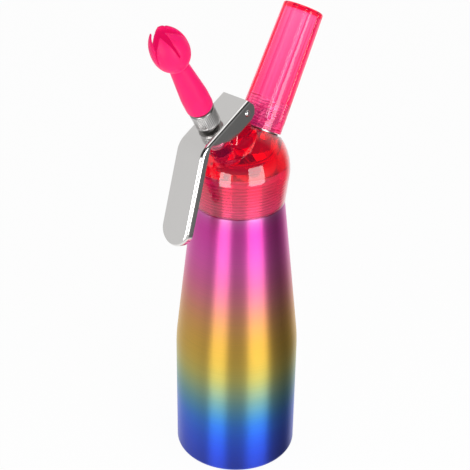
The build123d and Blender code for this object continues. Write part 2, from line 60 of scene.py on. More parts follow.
SAME_WALL = 0.01  # mm within which a point lies on a wall's radius
SQUARENESS = 2.2  # of a thread's crests
CREST_ZONE = 1.0  # mm down from a thread's crests that take in all of it
MERGED = 2e-7  # metres within which two points are one

Triple = tuple[float, float, float]
Colour = Triple
Pair = tuple[float, float]
Span = Pair  # a lowest and a highest value
Corner = tuple[float, ...]  # (radius, height) or (radius, height, rounding) in mm
Grid = np.ndarray
Profile = np.ndarray  # (n, 2) radii and heights in mm
Piece = bpy.types.Object
Node = bpy.types.Node
Socket = bpy.types.NodeSocket


class Axis(Enum):
    """The lines that pieces are turned about, each as a lean toward +X and a height of its zero."""

    BOTTLE = (0.0, 0.0)
    VALVE = (-CANT, CROSS_Z)
    PORT = (CANT, CROSS_Z)

    def place(self, points: Grid) -> Grid:
        """Leans points toward +X, lifts them to the axis's zero and scales them to metres.

        Args:
            points: (..., 3) points in mm, with Z along this axis.

        Returns:
            The same points in the shared frame, in metres.
        """
        lean, height = self.value
        x, y, z = points[..., 0], points[..., 1], points[..., 2]
        across = x * math.cos(lean) + z * math.sin(lean)
        up = height - x * math.sin(lean) + z * math.cos(lean)
        return np.stack([across, y, up], axis=-1) * MM

    def local(self, points: Grid) -> Grid:
        """Undoes place().

        Args:
            points: (..., 3) points in the shared frame, in metres.

        Returns:
            The same points in mm, with Z along this axis.
        """
        lean, height = self.value
        x, y, z = points[..., 0] / MM, points[..., 1] / MM, points[..., 2] / MM - height
        across = x * math.cos(lean) - z * math.sin(lean)
        up = x * math.sin(lean) + z * math.cos(lean)
        return np.stack([across, y, up], axis=-1)


@dataclass(frozen=True)
class Round:
    """Points round an axis: their angles in radians, and their radii and heights in mm."""

    turn: Grid
    radius: Grid
    height: Grid

    @classmethod
    def read(cls, piece: Piece, axis: Axis) -> "Round":
        """A finished piece's points, seen along an axis.

        Args:
            piece: the piece, in the shared frame.
            axis: what it is turned about.

        Returns:
            Its points, in the order of its mesh.
        """
        flat = np.empty(len(piece.data.vertices) * 3)
        piece.data.vertices.foreach_get("co", flat)
        points = axis.local(flat.reshape(-1, 3))
        x, y, z = points[:, 0], points[:, 1], points[:, 2]
        return cls(np.arctan2(y, x), np.hypot(x, y), z)

    def points(self) -> Grid:
        """The points as (r cos t, r sin t, z)."""
        x, y = self.radius * np.cos(self.turn), self.radius * np.sin(self.turn)
        return np.stack([x, y, self.height], axis=-1)


Change = Callable[[Round], Grid]  # new radii, angles or shares for points


class Cut(Enum):
    """What a tool does to the body that it is used on."""

    ADD = "UNION"
    TAKE = "DIFFERENCE"


# ---------------------------------------------------------------- profiles


def rounded(corners: Sequence[Corner], step: float = 6.0) -> Profile:
    """A profile through corners, with a tangent arc at each corner that has a rounding.

    Each arc touches both sides at rounding * tan(turn / 2) from the corner.

    Args:
        corners: (radius, height) or (radius, height, rounding) in mm.
        step: degrees between points of an arc.

    Returns:
        The profile's points.
    """
    places = np.array([corner[:2] for corner in corners], float)
    parts = [places[:1]]
    for number in range(1, len(corners) - 1):
        here = places[number]
        rounding = corners[number][2] if len(corners[number]) > 2 else 0.0
        if not rounding:
            parts.append(here[None])
            continue
        back = (places[number - 1] - here) / np.linalg.norm(places[number - 1] - here)
        ahead = (places[number + 1] - here) / np.linalg.norm(places[number + 1] - here)
        turn = math.pi - math.acos(float(np.clip(back @ ahead, -1, 1)))
        reach = rounding * math.tan(turn / 2)
        inward = (back + ahead) / np.linalg.norm(back + ahead)
        middle = here + inward * rounding / math.cos(turn / 2)
        start, end = here + back * reach - middle, here + ahead * reach - middle
        count = max(3, math.ceil(math.degrees(turn) / step) + 1)
        share = np.linspace(0, 1, count)[:, None]
        arc = (np.sin((1 - share) * turn) * start + np.sin(share * turn) * end) / math.sin(turn)
        parts.append(middle + arc)
    parts.append(places[-1:])
    return np.concatenate(parts)


def stepped(start: float, *steps: Corner) -> tuple[Corner, ...]:
    """The corners of a stepped solid, from the axis at its start and back to the axis at its end.

    Args:
        start: its lowest height in mm.
        *steps: each step's radius, the height that it reaches and any rounding at its top.

    Returns:
        The corners, upwards.
    """
    corners: list[Corner] = [(0.0, start)]
    for step in steps:
        corners += [(step[0], corners[-1][1]), step]
    return (*corners, (0.0, corners[-1][1]))


def spline(points: Sequence[Pair], count: int) -> Profile:
    """A natural cubic spline by chord length through a few points.

    Args:
        points: (radius, height) in mm.
        count: how many points the result has.

    Returns:
        The sampled spline.
    """
    knots = np.array(points, float)
    at = np.r_[0, np.cumsum(np.hypot(*np.diff(knots, axis=0).T))]
    gap = np.diff(at)
    system = np.eye(len(at))
    rows = np.arange(1, len(at) - 1)
    system[rows, rows - 1] = gap[:-1]
    system[rows, rows] = 2 * (gap[:-1] + gap[1:])
    system[rows, rows + 1] = gap[1:]
    slope = np.diff(knots, axis=0) / gap[:, None]
    free_end = np.zeros((1, 2))
    bend = np.linalg.solve(system, np.r_[free_end, 6 * np.diff(slope, axis=0), free_end])
    where = np.linspace(0, at[-1], count)
    span = np.clip(np.searchsorted(at, where) - 1, 0, len(gap) - 1)
    width = gap[span][:, None]
    left, right = (where - at[span])[:, None], (at[span + 1] - where)[:, None]
    return (
        (bend[span] * right**3 + bend[span + 1] * left**3) / (6 * width)
        + (knots[span] / width - bend[span] * width / 6) * right
        + (knots[span + 1] / width - bend[span + 1] * width / 6) * left
    )


def resampled(
    profile: Profile, step: float, span: Span | None = None, fine: float = FINE
) -> Profile:
    """Adds points along a profile, close together where its height is inside a span.

    Args:
        profile: the points to keep.
        step: greatest distance between points, in mm.
        span: lowest and highest height of the fine part.
        fine: greatest distance between points there.

    Returns:
        The denser profile.
    """
    run = np.r_[0, np.cumsum(np.hypot(*np.diff(profile, axis=0).T))]
    extra = np.arange(0, run[-1], step)
    if span:
        close = np.arange(0, run[-1], fine)
        extra = np.r_[extra, close[within(np.interp(close, run, profile[:, 1]), span)]]
    every = np.unique(np.r_[run, extra].round(5))
    radii, heights = (np.interp(every, run, values) for values in profile.T)
    return np.stack([radii, heights], axis=1)


def within(height: Grid, span: Span) -> Grid:
    """Where heights lie inside a span."""
    return (height > span[0]) & (height < span[1])


def eased(height: Grid, span: Span, run: float) -> Grid:
    """A share that climbs from 0 to 1 over a run inwards from each end of a span."""
    return np.clip((height - span[0]) / run, 0, 1) * np.clip((span[1] - height) / run, 0, 1)


@dataclass(frozen=True)
class Thread:
    """A screw thread along a round wall or bore, in mm."""

    radius: float
    pitch: float
    span: Span
    depth: float
    run_in: float = 1.0

    def crest(self, at: Round) -> Grid:
        """The thread from 0 at its root to 1 at its crest.

        It is a flattened cosine of height / pitch minus the share of a turn, faded in and out over
        one pitch at both ends.

        Args:
            at: points round the thread's axis.

        Returns:
            The crest's share at each point.
        """
        wave = np.cos(TURN * at.height / self.pitch - at.turn)
        flattened = np.tanh(SQUARENESS * wave) / np.tanh(SQUARENESS)
        return (0.5 + 0.5 * flattened) * eased(at.height, self.span, self.pitch)

    def on_wall(self, at: Round) -> Grid:
        """Which points lie on the plain wall."""
        return np.abs(at.radius - self.radius) < SAME_WALL

    def outside(self, at: Round) -> Grid:
        """Draws a wall in between the crests: radius - depth * run-in * (1 - crest).

        Args:
            at: points round the thread's axis.

        Returns:
            Their radii.
        """
        cut = self.on_wall(at) & within(at.height, self.span)
        ends = eased(at.height, self.span, self.run_in)
        return np.where(cut, at.radius - self.depth * ends * (1 - self.crest(at)), at.radius)

    def inside(self, at: Round) -> Grid:
        """Cuts the crests outwards into a bore: radius + depth * crest."""
        return np.where(self.on_wall(at), at.radius + self.depth * self.crest(at), at.radius)

    def groove(self, at: Round) -> Grid:
        """How deep points of a finished outer thread lie between its crests.

        Args:
            at: points round the thread's axis.

        Returns:
            0 at a crest and 1 at a root.
        """
        near = at.radius > self.radius - CREST_ZONE
        threaded = near & within(at.height, self.span)
        return threaded * (self.radius - at.radius) / self.depth


# ---------------------------------------------------------------- meshes


def grid_piece(name: str, points: Grid, loop: bool = False) -> Piece:
    """A closed surface from a grid of points whose columns go all the way round.

    Args:
        name: the piece's name.
        points: (rows, columns, 3) in metres. A row drawn together to one point is a pole.
        loop: whether the last row joins the first.

    Returns:
        The piece, with its normals outwards.
    """
    rows, columns = points.shape[:2]
    bands = np.arange(rows if loop else rows - 1)
    row, column = np.meshgrid(bands, np.arange(columns), indexing="ij")
    below, beside = (row + 1) % rows, (column + 1) % columns
    corners = [(row, column), (row, beside), (below, beside), (below, column)]
    faces = np.stack([line * columns + place for line, place in corners], axis=-1).reshape(-1, 4)
    mesh = bpy.data.meshes.new(name)
    mesh.from_pydata(points.reshape(-1, 3).tolist(), [], faces.tolist())
    merge_points(mesh, outwards=True)
    return new_piece(name, mesh)


def merge_points(mesh: bpy.types.Mesh, outwards: bool) -> None:
    """Merges doubled points.

    Args:
        mesh: the mesh to change.
        outwards: whether its faces are then turned outwards.
    """
    shape = bmesh.new()
    shape.from_mesh(mesh)
    bmesh.ops.remove_doubles(shape, verts=shape.verts, dist=MERGED)
    if outwards:
        bmesh.ops.recalc_face_normals(shape, faces=shape.faces)
    shape.to_mesh(mesh)
    shape.free()


def new_piece(name: str, data: bpy.types.ID) -> Piece:
    """Puts a mesh, lamp or camera into the scene as an object at the origin.

    Args:
        name: the object's name.
        data: what it holds.

    Returns:
        The object.
    """
    piece = bpy.data.objects.new(name, data)
    bpy.context.scene.collection.objects.link(piece)
    return piece


def smooth(piece: Piece, degrees: float = 32.0) -> Piece:
    """Shades a piece smooth, apart from its sharp edges.

    Args:
        piece: the piece.
        degrees: the angle past which an edge stays sharp.

    Returns:
        The same piece.
    """
    piece.data.shade_smooth()
    piece.data.set_sharp_from_angle(angle=math.radians(degrees))
    return piece


def lathe(
    name: str,
    axis: Axis,
    profile: Profile,
    columns: int,
    relief: Change | None = None,
    loop: bool = False,
    spread: Change | None = None,
) -> Piece:
    """A surface turned about an axis: each point is (r cos t, r sin t, z).

    Args:
        name: the piece's name.
        axis: what it is turned about.
        profile: radii and heights in mm.
        columns: how many there are round the axis.
        relief: new radii for the points.
        loop: whether the profile is a closed ring.
        spread: new angles for the evenly spaced points.

    Returns:
        The piece.
    """
    turn, radius = np.meshgrid(np.arange(columns) / columns * TURN, profile[:, 0])
    at = Round(turn, radius, np.repeat(profile[:, 1:2], columns, axis=1))
    if spread:
        at = Round(spread(at), at.radius, at.height)
    if relief:
        at = Round(at.turn, relief(at), at.height)
    return grid_piece(name, axis.place(at.points()), loop)


def prism(outline: Grid, low: float, high: float, bevel: float = 0.0) -> Grid:
    """The grid of a bar with a convex or starlike section: rings of the outline between two ends.

    Args:
        outline: (n, 2) section in mm.
        low: start along the bar.
        high: end along the bar.
        bevel: how far the outline draws in at both ends.

    Returns:
        (rows, n, 3) grid with the bar along its third value.
    """
    middle = outline.mean(axis=0)
    out = outline - middle
    pole = middle + out * 0
    inset = middle + out * (1 - bevel / np.linalg.norm(out, axis=1, keepdims=True))
    start = [(pole, low), (inset, low), (outline, low + bevel)]
    end = [(outline, high - bevel), (inset, high), (pole, high)]
    return np.stack([np.c_[ring, np.full(len(ring), place)] for ring, place in start + end])


def carve(body: Piece, tools: Sequence[tuple[Piece, Cut]]) -> Piece:
    """Adds tools to a body or cuts them out of it, and removes them.

    Args:
        body: the closed piece to change.
        tools: closed pieces, each with what it does.

    Returns:
        The body with its new mesh.
    """
    for tool, cut in tools:
        change = body.modifiers.new(tool.name, "BOOLEAN")
        change.object, change.operation, change.solver = tool, cut.value, "MANIFOLD"
    settle(body)
    for tool, _ in tools:
        bpy.data.objects.remove(tool)
    return body


def settle(body: Piece) -> None:
    """Replaces a piece's mesh by what its modifiers make of it, and clears them.

    Args:
        body: the piece to change.
    """
    bpy.context.view_layer.update()
    shaped = body.evaluated_get(bpy.context.evaluated_depsgraph_get())
    mesh = bpy.data.meshes.new_from_object(shaped)
    body.modifiers.clear()
    body.data = mesh


def merged_copy(node: str, name: str) -> Piece:
    """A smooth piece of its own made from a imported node's mesh.

    Args:
        node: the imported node.
        name: the piece's name.

    Returns:
        The piece, with its doubled points merged.
    """
    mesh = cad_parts[node].data.copy()
    mesh.name = name
    mesh.materials.clear()
    merge_points(mesh, outwards=False)
    return smooth(new_piece(name, mesh))


def dress(piece: Piece, finish: "Finish", body: str, slot: str, node: str) -> None:
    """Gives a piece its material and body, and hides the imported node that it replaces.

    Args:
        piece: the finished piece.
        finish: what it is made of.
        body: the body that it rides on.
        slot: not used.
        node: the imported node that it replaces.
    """
    piece.data.materials.clear()
    piece.data.materials.append(finish.material())
    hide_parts(node)
    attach(piece, body)
    LOG.info("%s: %d faces on %s", piece.name, len(piece.data.polygons), body)


def store_painted_shade(piece: Piece, axis: Axis, depth: Change) -> None:
    """Stores how deep in a groove or recess each point lies, as the share of painted shade that a
    finish darkens by.

    Args:
        piece: the finished mesh, in the shared frame.
        axis: what it is turned about.
        depth: the depth's share, from 0 to 1.
    """
    share = depth(Round.read(piece, axis))
    stored = piece.data.attributes.new("groove", "FLOAT", "POINT")
    stored.data.foreach_set("value", np.clip(share, 0, 1).astype(np.float32))


# ---------------------------------------------------------------- shader building


class Ramp(Enum):
    """How a colour ramp runs between its stops."""

    STRAIGHT = "LINEAR"
    CURVED = "B_SPLINE"


class Shader:
    """One node tree, with short calls that add and join its nodes."""

    def __init__(self, tree: bpy.types.NodeTree) -> None:
        """Keeps the tree."""
        self.tree = tree

    def node(self, kind: str, **settings: object) -> Node:
        """Adds a node and sets its own properties.

        Args:
            kind: the node's type.
            **settings: values of its properties.

        Returns:
            The node.
        """
        made = self.tree.nodes.new(kind)
        for key, value in settings.items():
            setattr(made, key, value)
        return made

    def feed(self, entry: Socket, value: object) -> None:
        """Fills an input.

        Args:
            entry: the input.
            value: an output to join to it, or its constant.
        """
        if isinstance(value, Socket):
            self.tree.links.new(value, entry)
        else:
            entry.default_value = value

    def feed_all(self, node: Node, values: dict[str, object]) -> None:
        """Fills several inputs of a node.

        Args:
            node: the node.
            values: an output or a constant for each input's name.
        """
        for title, value in values.items():
            self.feed(node.inputs[title], value)

    def math(self, operation: str, first: object, second: object) -> Socket:
        """A math node.

        Args:
            operation: the node's operation.
            first: output or number.
            second: output or number.

        Returns:
            The result.
        """
        made = self.node("ShaderNodeMath", operation=operation)
        for entry, value in zip(made.inputs, (first, second)):
            self.feed(entry, value)
        return made.outputs[0]

    def noise(self, vector: Socket, scale: float, detail: float) -> Socket:
        """A noise texture.

        Args:
            vector: where it is read.
            scale: features in one unit of the vector.
            detail: how many finer layers it has.

        Returns:
            Its value, about 0.5.
        """
        made = self.node("ShaderNodeTexNoise")
        self.feed_all(made, {"Vector": vector, "Scale": scale, "Detail": detail})
        return made.outputs["Fac"]

    def stretched(self, scale: Triple) -> Socket:
        """The object's coordinates, stretched.

        Args:
            scale: what X, Y and Z are multiplied by.

        Returns:
            The coordinates.
        """
        made = self.node("ShaderNodeMapping")
        self.feed_all(made, {"Vector": self.place(), "Scale": scale})
        return made.outputs[0]

    def tint(self, colour: Colour | Socket, tone: Socket) -> Socket:
        """A colour multiplied by a tone.

        Args:
            colour: an output or a constant.
            tone: a grey that changes over the surface.

        Returns:
            The colour.
        """
        mixed = self.node("ShaderNodeMix", data_type="RGBA", blend_type="MULTIPLY")
        self.feed(mixed.inputs["Factor"], 1.0)
        self.feed(mixed.inputs[6], colour if isinstance(colour, Socket) else (*colour, 1.0))
        self.feed(mixed.inputs[7], tone)
        return mixed.outputs[2]

    def blend(self, share: Socket, low: object, high: object) -> Socket:
        """A number that goes from one value to another.

        Args:
            share: how far it goes, from 0 to 1.
            low: output or number at 0.
            high: output or number at 1.

        Returns:
            The number.
        """
        mixed = self.node("ShaderNodeMix", data_type="FLOAT")
        self.feed(mixed.inputs["Factor"], share)
        self.feed(mixed.inputs[2], low)
        self.feed(mixed.inputs[3], high)
        return mixed.outputs[0]

    def ramp(self, share: Socket, stops: Sequence[tuple[float, Colour]], kind: Ramp) -> Socket:
        """A colour ramp.

        Args:
            share: the place along the ramp.
            stops: places from 0 to 1 with their linear colours.
            kind: how it runs between them.

        Returns:
            The colour.
        """
        made = self.node("ShaderNodeValToRGB")
        self.feed(made.inputs[0], share)
        made.color_ramp.interpolation = kind.value
        points = made.color_ramp.elements
        while len(points) > 1:
            points.remove(points[-1])
        for number, (place, colour) in enumerate(stops):
            stop = points.new(place) if number else points[0]
            stop.position, stop.color = place, (*colour, 1.0)
        return made.outputs[0]

    def bump(self, height: Socket, distance: float, strength: float) -> Socket:
        """A bump node.

        Args:
            height: 0 to 1 over the surface.
            distance: metres between 0 and 1.
            strength: how much of it shows.

        Returns:
            The normal.
        """
        made = self.node("ShaderNodeBump")
        self.feed_all(made, {"Strength": strength, "Distance": distance, "Height": height})
        return made.outputs["Normal"]

    def place(self) -> Socket:
        """The object's own coordinates, in metres."""
        return self.node("ShaderNodeTexCoord").outputs["Object"]

    def parts(self, vector: Socket) -> dict[str, Socket]:
        """Takes a vector apart.

        Args:
            vector: the vector.

        Returns:
            Its X, Y and Z.
        """
        split = self.node("ShaderNodeSeparateXYZ")
        self.feed(split.inputs[0], vector)
        return {title: split.outputs[title] for title in "XYZ"}

    def seen_directly(self) -> Socket:
        """1 for what the camera sees itself or through plastic, and 0 otherwise."""
        path = self.node("ShaderNodeLightPath").outputs
        return self.math("MAXIMUM", path["Is Camera Ray"], path["Is Transmission Ray"])


class Pattern(Enum):
    """The shared textures, each with the name of its node group."""

    LINES = "Brushing"
    CLOUDS = "Clouding"

    def draw(self, shader: Shader, vector: Socket) -> tuple[Socket, Socket]:
        """Adds the noises together: stretched lines 0.65 to 0.35, or even patches one to one.

        Args:
            shader: the group's shader.
            vector: where the pattern is read.

        Returns:
            The pattern's height, and the pattern centred on 0.
        """
        if self is Pattern.LINES:
            fine = shader.math("MULTIPLY", shader.noise(vector, scale=1.0, detail=4.0), 0.65)
            broad = shader.math("MULTIPLY", shader.noise(vector, scale=0.17, detail=2.0), 0.35)
            height = shader.math("ADD", fine, broad)
            return height, shader.math("SUBTRACT", height, 0.5)
        broad = shader.noise(vector, scale=60.0, detail=2.0)
        fine = shader.noise(vector, scale=900.0, detail=3.0)
        return fine, shader.math("SUBTRACT", shader.math("ADD", broad, fine), 1.0)

    def group(self) -> bpy.types.NodeTree:
        """The pattern's node group, made the first time that it is asked for.

        Its Roughness is Base plus Spread times the centred pattern, and its Tone is 1 plus Contrast
        times the centred pattern.

        Returns:
            The group.
        """
        made = bpy.data.node_groups.get(self.value)
        if made:
            return made
        made = bpy.data.node_groups.new(self.value, "ShaderNodeTree")
        sockets = {
            "INPUT": ("Vector", "Base", "Spread", "Contrast"),
            "OUTPUT": ("Height", "Roughness", "Tone"),
        }
        for way, titles in sockets.items():
            for title in titles:
                kind = "NodeSocketVector" if title == "Vector" else "NodeSocketFloat"
                made.interface.new_socket(name=title, in_out=way, socket_type=kind)
        shader = Shader(made)
        inlet = shader.node("NodeGroupInput").outputs
        height, centred = self.draw(shader, inlet["Vector"])
        rough = shader.math("MULTIPLY", centred, inlet["Spread"])
        tone = shader.math("MULTIPLY", centred, inlet["Contrast"])
        results = {
            "Height": height,
            "Roughness": shader.math("ADD", inlet["Base"], rough),
            "Tone": shader.math("ADD", 1.0, tone),
        }
        shader.feed_all(shader.node("NodeGroupOutput"), results)
        return made


def linear(red: int, green: int, blue: int) -> Colour:
    """A display colour as the scene's linear light.

    Args:
        red: 0 to 255.
        green: 0 to 255.
        blue: 0 to 255.

    Returns:
        The colour, from 0 to 1.
    """
    shares = np.array([red, green, blue]) / 255
    light = np.where(shares > 0.04045, ((shares + 0.055) / 1.055) ** 2.4, shares / 12.92)
    return tuple(float(value) for value in light)


# ---------------------------------------------------------------- finishes


@dataclass(frozen=True)
class Finish:
    """A named material that is built once, with a pattern in its roughness, tone and relief.

    Its spread and contrast are how far the pattern moves the roughness and the tone. Its depth is
    the relief in metres, its strength how much of that shows, and its groove_shade how much painted
    shade darkens the colour where the piece stores a groove's depth or a shaded place.
    """

    name: str
    roughness: float = 0.3
    spread: float = 0.1
    contrast: float = 0.1
    depth: float = 0.00001
    strength: float = 0.4
    groove_shade: float = 0.0

    def material(self) -> bpy.types.Material:
        """Makes the material the first time that it is asked for.

        Returns:
            The material.
        """
        made = bpy.data.materials.get(self.name)
        if made:
            return made
        made = bpy.data.materials.new(self.name)
        made.use_nodes = True
        self.build(Shader(made.node_tree), made.node_tree.nodes["Principled BSDF"])
        return made

    def build(self, shader: Shader, surface: Node) -> None:
        """Adds this finish's nodes.

        Args:
            shader: the material's shader.
            surface: its surface node.
        """
        raise NotImplementedError

    def cover(
        self,
        shader: Shader,
        surface: Node,
        colour: Colour | Socket,
        pattern: Pattern,
        vector: Socket,
    ) -> None:
        """Lays the pattern over a colour, with painted shade where the piece stores grooves and
        shaded places.

        Args:
            shader: the material's shader.
            surface: its surface node.
            colour: an output or a constant.
            pattern: the shared texture.
            vector: where the texture is read.
        """
        skin = shader.node("ShaderNodeGroup", node_tree=pattern.group())
        values = {"Base": self.roughness, "Spread": self.spread, "Contrast": self.contrast}
        shader.feed_all(skin, {"Vector": vector, **values})
        tone = skin.outputs["Tone"]
        # painted shade: the tone drops by the stored groove share times groove_shade
        if self.groove_shade:
            groove = shader.node("ShaderNodeAttribute", attribute_name="groove").outputs["Fac"]
            shade = shader.math("MULTIPLY", groove, self.groove_shade)
            tone = shader.math("SUBTRACT", tone, shade)
        layers = {
            "Base Color": shader.tint(colour, tone),
            "Roughness": skin.outputs["Roughness"],
            "Normal": shader.bump(skin.outputs["Height"], self.depth, self.strength),
        }
        shader.feed_all(surface, layers)


@dataclass(frozen=True)
class AnodisedFade(Finish):
    """Dyed aluminium whose colour runs up the wall, brushed round the axis under a clear coat.

    Its stops are display colours by height in mm.
    """

    roughness: float = 0.48
    spread: float = 0.20
    contrast: float = 0.30
    depth: float = 0.00002
    strength: float = 0.5
    # painted shade in the roots of the neck's thread
    groove_shade: float = 0.32
    stops: tuple[tuple[float, tuple[int, int, int]], ...] = ()
    top: float = 205.0
    stretch: Triple = (40.0, 40.0, 5200.0)
    anisotropy: float = 0.97
    quarter_turn: float = 0.25
    coat: float = 0.6
    coat_roughness: float = 0.22

    def build(self, shader: Shader, surface: Node) -> None:
        """Ramps the colour by height and lays brushing lines round the axis over it.

        Args:
            shader: the material's shader.
            surface: its surface node.
        """
        share = shader.math("DIVIDE", shader.parts(shader.place())["Z"], self.top * MM)
        stops = [(height / self.top, linear(*colour)) for height, colour in self.stops]
        colour = shader.ramp(share, stops, Ramp.CURVED)
        self.cover(shader, surface, colour, Pattern.LINES, shader.stretched(self.stretch))
        tangent = shader.node("ShaderNodeTangent", direction_type="RADIAL", axis="Z")
        values = {
            "Tangent": tangent.outputs[0],
            "Metallic": 1.0,
            "Anisotropic": self.anisotropy,
            "Anisotropic Rotation": self.quarter_turn,
            "Coat Weight": self.coat,
            "Coat Roughness": self.coat_roughness,
        }
        shader.feed_all(surface, values)


@dataclass(frozen=True)
class ClearPlastic(Finish):
    """Dyed see-through moulding that deepens with its thickness, with faint flow marks.

    Its glow is a painted glow: an emission in the dye's colour that stands for light scattered
    inside it.
    """

    roughness: float = 0.03
    spread: float = 0.03
    contrast: float = 0.06
    strength: float = 0.15
    colour: Colour = (0.99, 0.90, 0.93)
    dye: Colour = (0.97, 0.02, 0.42)
    density: float = 300.0
    index: float = 1.49
    coat: float = 1.0
    coat_roughness: float = 0.02
    glow: float = 0.1

    def build(self, shader: Shader, surface: Node) -> None:
        """Tints what passes through and breaks up the gloss a little.

        Args:
            shader: the material's shader.
            surface: its surface node.
        """
        self.cover(shader, surface, self.colour, Pattern.CLOUDS, shader.place())
        values = {
            "Transmission Weight": 1.0,
            "IOR": self.index,
            "Coat Weight": self.coat,
            "Coat Roughness": self.coat_roughness,
            # painted glow
            "Emission Color": (*self.dye, 1.0),
            "Emission Strength": self.glow,
        }
        shader.feed_all(surface, values)
        absorb = shader.node("ShaderNodeVolumeAbsorption")
        shader.feed_all(absorb, {"Color": (*self.dye, 1.0), "Density": self.density})
        outlet = shader.tree.nodes["Material Output"]
        shader.feed(outlet.inputs["Volume"], absorb.outputs[0])


@dataclass(frozen=True)
class BrushedMetal(Finish):
    """Bare metal with lines across one direction."""

    spread: float = 0.12
    contrast: float = 0.12
    colour: Colour = (0.6, 0.6, 0.6)
    stretch: Triple = (300.0, 9000.0, 300.0)

    def build(self, shader: Shader, surface: Node) -> None:
        """Lays the lines over a plain metal.

        Args:
            shader: the material's shader.
            surface: its surface node.
        """
        vector = shader.stretched(self.stretch)
        self.cover(shader, surface, self.colour, Pattern.LINES, vector)
        shader.feed(surface.inputs["Metallic"], 1.0)


@dataclass(frozen=True)
class SoftRubber(Finish):
    """Moulded silicone or rubber with a satin skin.

    Its softness is how much light goes in under the skin, and as far as its reach in metres. Its
    light is a painted glow: an emission of that colour that brightens the piece.
    """

    roughness: float = 0.45
    spread: float = 0.14
    depth: float = 0.00003
    strength: float = 0.35
    colour: Colour = (0.8, 0.8, 0.8)
    softness: float = 0.35
    reach: float = 0.002
    gloss: float = 0.5
    sheen: float = 0.06
    sheen_roughness: float = 0.4
    light: Colour = (0.0, 0.0, 0.0)

    def build(self, shader: Shader, surface: Node) -> None:
        """Varies the tone and roughness in soft patches and adds a fine skin.

        Args:
            shader: the material's shader.
            surface: its surface node.
        """
        self.cover(shader, surface, self.colour, Pattern.CLOUDS, shader.place())
        values = {
            "Specular IOR Level": self.gloss,
            "Sheen Weight": self.sheen,
            "Sheen Roughness": self.sheen_roughness,
            "Subsurface Weight": self.softness,
            "Subsurface Scale": self.reach,
            # painted glow
            "Emission Color": (*self.light, 1.0),
            "Emission Strength": 1.0,
        }
        shader.feed_all(surface, values)


AROUND = (300.0, 300.0, 6000.0)  # stretches lines round a turned piece
FADE = AnodisedFade(
    "anodised_fade",
    stops=(
        (2, (46, 74, 210)),
        (14, (44, 84, 236)),
        (26, (44, 106, 246)),
        (36, (50, 132, 244)),
        (44, (74, 156, 214)),
        (53, (118, 178, 182)),
        (62, (166, 194, 150)),
        (72, (210, 202, 102)),
        (84, (236, 196, 78)),
        (97, (240, 190, 76)),
        (108, (242, 178, 98)),
        (118, (244, 160, 128)),
        (128, (248, 136, 160)),
        (138, (248, 116, 178)),
        (152, (254, 102, 205)),
        (166, (252, 76, 198)),
        (178, (250, 68, 196)),
        (184, (255, 196, 240)),
        (204, (255, 200, 240)),
    ),
)
# painted glow: the head and the holder emit a little light in their dye's colour
HEAD_RED = ClearPlastic("clear_red", dye=(0.985, 0.04, 0.34), density=330.0, glow=0.04)
HOLDER_PINK = ClearPlastic(
    "clear_pink",
    dye=(0.99, 0.05, 0.42),
    density=330.0,
    index=1.46,
    coat=0.25,
    glow=0.10,
    # painted shade in the roots of the foot's thread
    groove_shade=0.7,
)
# painted glow: the lining's light stands for light let in through the clear head
LINING = SoftRubber(
    "pale_lacquer",
    colour=(0.90, 0.89, 0.88),
    roughness=0.5,
    softness=0.0,
    light=(0.06, 0.06, 0.06),
)
SATIN_STEEL = BrushedMetal("satin_steel", colour=(0.88, 0.865, 0.85), roughness=0.12, spread=0.06)
BRIGHT_STEEL = BrushedMetal("bright_steel", colour=(0.72, 0.72, 0.72), roughness=0.14, spread=0.06)
# painted shade: the stud's thread roots and the flange's rim are darkened by groove_shade
TURNED = BrushedMetal(
    "turned_aluminium",
    colour=(0.80, 0.79, 0.78),
    roughness=0.22,
    stretch=AROUND,
    groove_shade=0.8,
)
# painted shade: the knurl's grooves, the foot and the shoulder are darkened by groove_shade
KNURLED = BrushedMetal(
    "knurled_aluminium",
    colour=(0.95, 0.93, 0.92),
    roughness=0.3,
    stretch=AROUND,
    groove_shade=0.65,
)
# painted glow: the tip's light brightens its pink as an emission
PINK_SKIN = SoftRubber(
    "pink_silicone",
    colour=(0.66, 0.002, 0.075),
    roughness=0.42,
    gloss=0.25,
    light=(0.28, 0.004, 0.08),
)
SEAL_SKIN = SoftRubber("seal_silicone", colour=(0.72, 0.70, 0.68), roughness=0.5)


# ---------------------------------------------------------------- sub-assemblies


